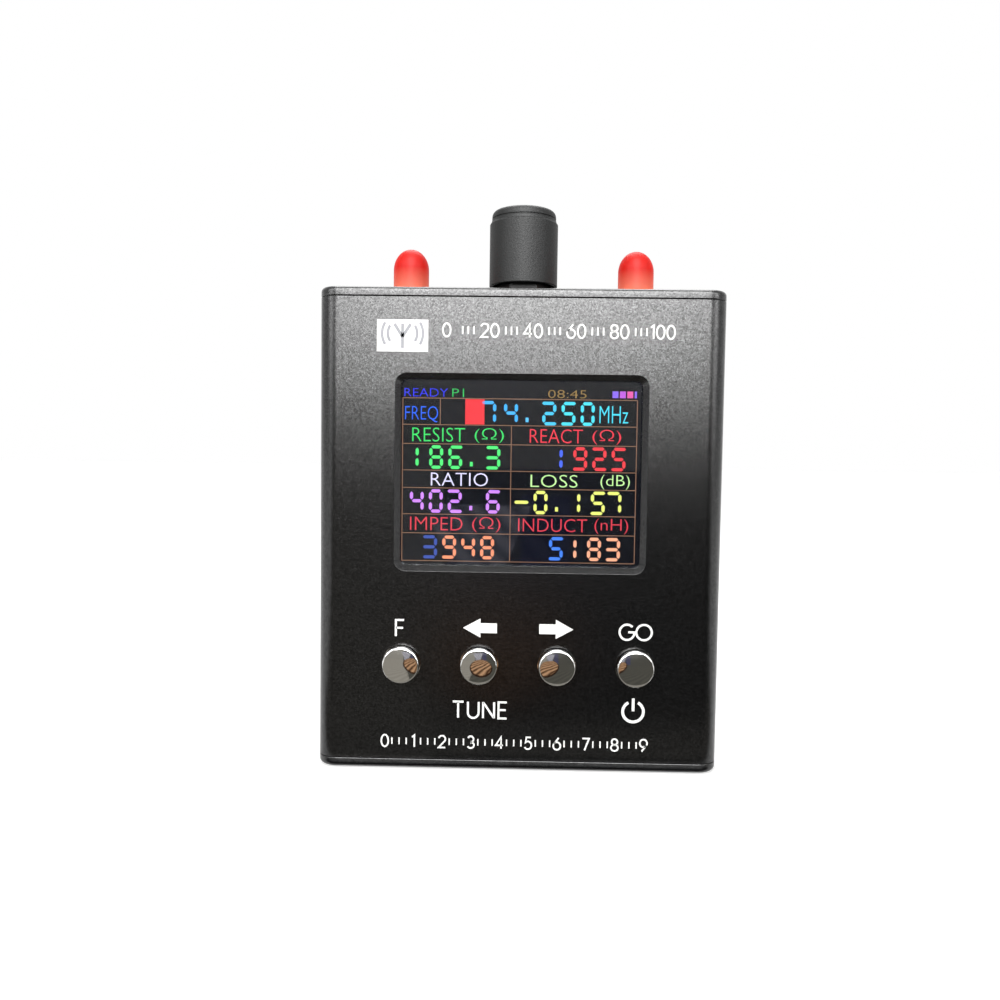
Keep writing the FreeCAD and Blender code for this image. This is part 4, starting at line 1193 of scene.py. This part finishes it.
# Cards round the case's front: name, dark and pale tone, and outline.
CARDS = (
    ("far_card", "#8E8B84", "#9C9990", upright(-380, 380, 1, 124, -402)),
    ("right_card", "#4C4B46", "#56554F", upright(-29, 240, 1, 60, -172)),
    ("blue_card", "#383850", "#56566E", upright(1, 20, 8, 50, -171)),
    ("pale_card", "#85848E", "#C4C3CC", [(-36, -170, 46), (5, -170, 46), (-9, -170, 12),
                                         (-23, -170, 12)]),
    ("left_mat", "#928E85", "#9F9B92", flat([(-90, -17), (-18, -17), (-29, -402),
                                             (-380, -402)], 1)),
    ("right_mat", "#4E4D48", "#57564F", flat([(-18, -17), (90, -17), (240, -172),
                                              (-29, -172)], 1)),
    ("near_mat", "#8E8B84", "#9A978F", flat([(-90, -17), (90, -17), (90, -38), (-90, -38)], 2)),
    # The foot mat is a dark sheet at the case's foot: painted shade in the bottom edges'
    # reflection.
    ("foot_painted_shade_sheet", "#23211F", "#2E2C29", flat([(-44, -14.1), (44, -14.1), (44, -17),
                                             (-44, -17)], 0.1)),
    # The brown and tan mats are a painted reflection of a hand in front of the keys, with painted
    # shade round it.
    ("brown_painted_hand_shade", "#2A1C14", "#402C20", rising(arc(-6, -88, 21, 42, 0, 345, 23), -6)),
    ("tan_painted_hand_reflection", "#4A3020", "#CDA27C", rising(arc(-6, -87, 19, 39, 0, 345, 23), -5)),
)


def flag_cloth(name, dark, pale):
    """A card that no lamp lights and that glows in its own colour, a painted reflection, with wavy
    bands between a dark and a pale tone.
    """
    material = surface(name + "_cloth", "#000000", "#050505", 0.9, 2.0, 0.1,
                       Specular_IOR_Level=0.0)
    tree = material.node_tree
    shader = tree.nodes["Principled BSDF"]
    place = add(tree, "ShaderNodeTexCoord").outputs["Object"]
    wavy_bands = add(tree, "ShaderNodeTexWave", {"bands_direction": "DIAGONAL", "Scale": 55.0,
                                            "Distortion": 3.0, "Detail": 2.0},
                {"Vector": place}).outputs["Fac"]
    tone = add(tree, "ShaderNodeMix", {"data_type": "RGBA", 6: linear(dark), 7: linear(pale)},
               {0: wavy_bands}).outputs[2]
    # Painted reflection: the card emits its tones, so it glows though it is no lamp.
    tree.links.new(tone, shader.inputs["Emission Color"])
    shader.inputs["Emission Strength"].default_value = 1.0
    return material


class ANALYZER_OT_stage(Operator):
    """Set up the floor, the softboxes, the white surround and the camera"""
    bl_idname = "analyzer.stage"
    bl_label = "Stage"

    def execute(self, context):
        settings = chosen("stage")
        scene = context.scene
        scene.view_settings.view_transform = "Standard"

        world = bpy.data.worlds.new("white_surround")
        world.use_nodes = True
        scene.world = world
        sky = world.node_tree.nodes["Background"]
        sky.inputs["Color"].default_value = (1, 1, 1, 1)
        white_where_seen(world.node_tree, sky.inputs["Strength"], settings.room, 1.0)

        form = Form()
        form.points = [(-4000, -4000, -0.2), (4000, -4000, -0.2), (4000, 4000, -0.2),
                       (-4000, 4000, -0.2)]
        form.faces, form.finishes = [(0, 1, 2, 3)], [0]
        paint = tuple(settings.floor)
        material = surface("matt_white_paint", paint, darker(paint, 0.99), 0.8, 20.0, 0.01)
        tree = material.node_tree
        shader = tree.nodes["Principled BSDF"]
        shader.inputs["Emission Color"].default_value = (1, 1, 1, 1)
        white_where_seen(tree, shader.inputs["Emission Strength"], 0.0, 0.5)
        floor = new_object("pale_floor", form.mesh("pale_floor"), [material])

        # Cards that only reflections see. As a studio's flags do, they keep the black case
        # black, and the bright keys show their shapes.
        # The cards glow in their own colours: a painted reflection of what stands round the case.
        for name, dark, pale, outline in CARDS:
            form = Form()
            form.points, form.finishes = list(outline), [0]
            form.faces = [tuple(range(len(outline)))]
            card = new_object(name, form.mesh(name), [flag_cloth(name, dark, pale)])
            card.visible_camera = card.visible_diffuse = card.visible_shadow = False

        aim = (0.0, 0.0, 0.06)
        lamp("sheen_softbox", (0.0, -0.704, 0.628), (0.0, 0.0, 0.172), 0.66, 1.055,
             settings.sheen, False)
        lamp("rim_softbox", (0.0, 0.36, 0.85), aim, 0.6, 0.72, settings.rim, False)
        lamp("left_softbox", (-0.8, -0.7, 0.55), aim, 0.5, 0.7, settings.fill)
        lamp("right_softbox", (0.8, -0.7, 0.5), aim, 0.5, 0.7, settings.fill * 0.85)

        camera = bpy.data.objects.new("camera", bpy.data.cameras.new("camera"))
        scene.collection.objects.link(camera)
        camera.data.sensor_width, camera.data.lens = 36.0, settings.lens
        camera.data.clip_start = 0.01
        place = Vector((-0.6195, -199.4026, 66.4317)) * MM
        tilt, yaw, roll = -0.0531, -0.0191, 0.0138
        camera.matrix_world = (
            Matrix.Translation(place)
            @ Matrix.Rotation(-yaw, 4, "Z") @ Matrix.Rotation(math.pi / 2 + tilt, 4, "X")
            @ Matrix.Rotation(roll, 4, "Z"))
        scene.camera = camera
        return {"FINISHED"}


class ANALYZER_PT_panel(Panel):
    """Lists the analyzer's pieces and settings"""
    bl_idname = "ANALYZER_PT_panel"
    bl_label = "Antenna Analyzer"
    bl_space_type = "VIEW_3D"
    bl_region_type = "UI"
    bl_category = "Analyzer"

    def draw(self, context):
        layout = self.layout
        for name in SETTINGS:
            box = layout.box()
            box.label(text=name.capitalize())
            group = chosen(name)
            for key in group.bl_rna.properties.keys():
                if key not in ("rna_type", "name"):
                    box.prop(group, key)
        for operator in OPERATORS:
            layout.operator(operator.bl_idname)


OPERATORS = (
    ANALYZER_OT_channels, ANALYZER_OT_end_plates, ANALYZER_OT_plate_screws,
    ANALYZER_OT_legends, ANALYZER_OT_display, ANALYZER_OT_keys, ANALYZER_OT_knob,
    ANALYZER_OT_caps, ANALYZER_OT_jacks, ANALYZER_OT_inner_parts, ANALYZER_OT_stage,
)
CLASSES = tuple(SETTINGS.values()) + OPERATORS + (ANALYZER_PT_panel,)


def register():
    for cls in CLASSES:
        bpy.utils.register_class(cls)
    for name, group in SETTINGS.items():
        setattr(bpy.types.Scene, "analyzer_" + name, PointerProperty(type=group))


def unregister():
    for name in SETTINGS:
        delattr(bpy.types.Scene, "analyzer_" + name)
    for cls in reversed(CLASSES):
        bpy.utils.unregister_class(cls)


def main():
    register()
    for operator in OPERATORS:
        group, name = operator.bl_idname.split(".")
        getattr(getattr(bpy.ops, group), name)()


if __name__ == "__main__":
    main()
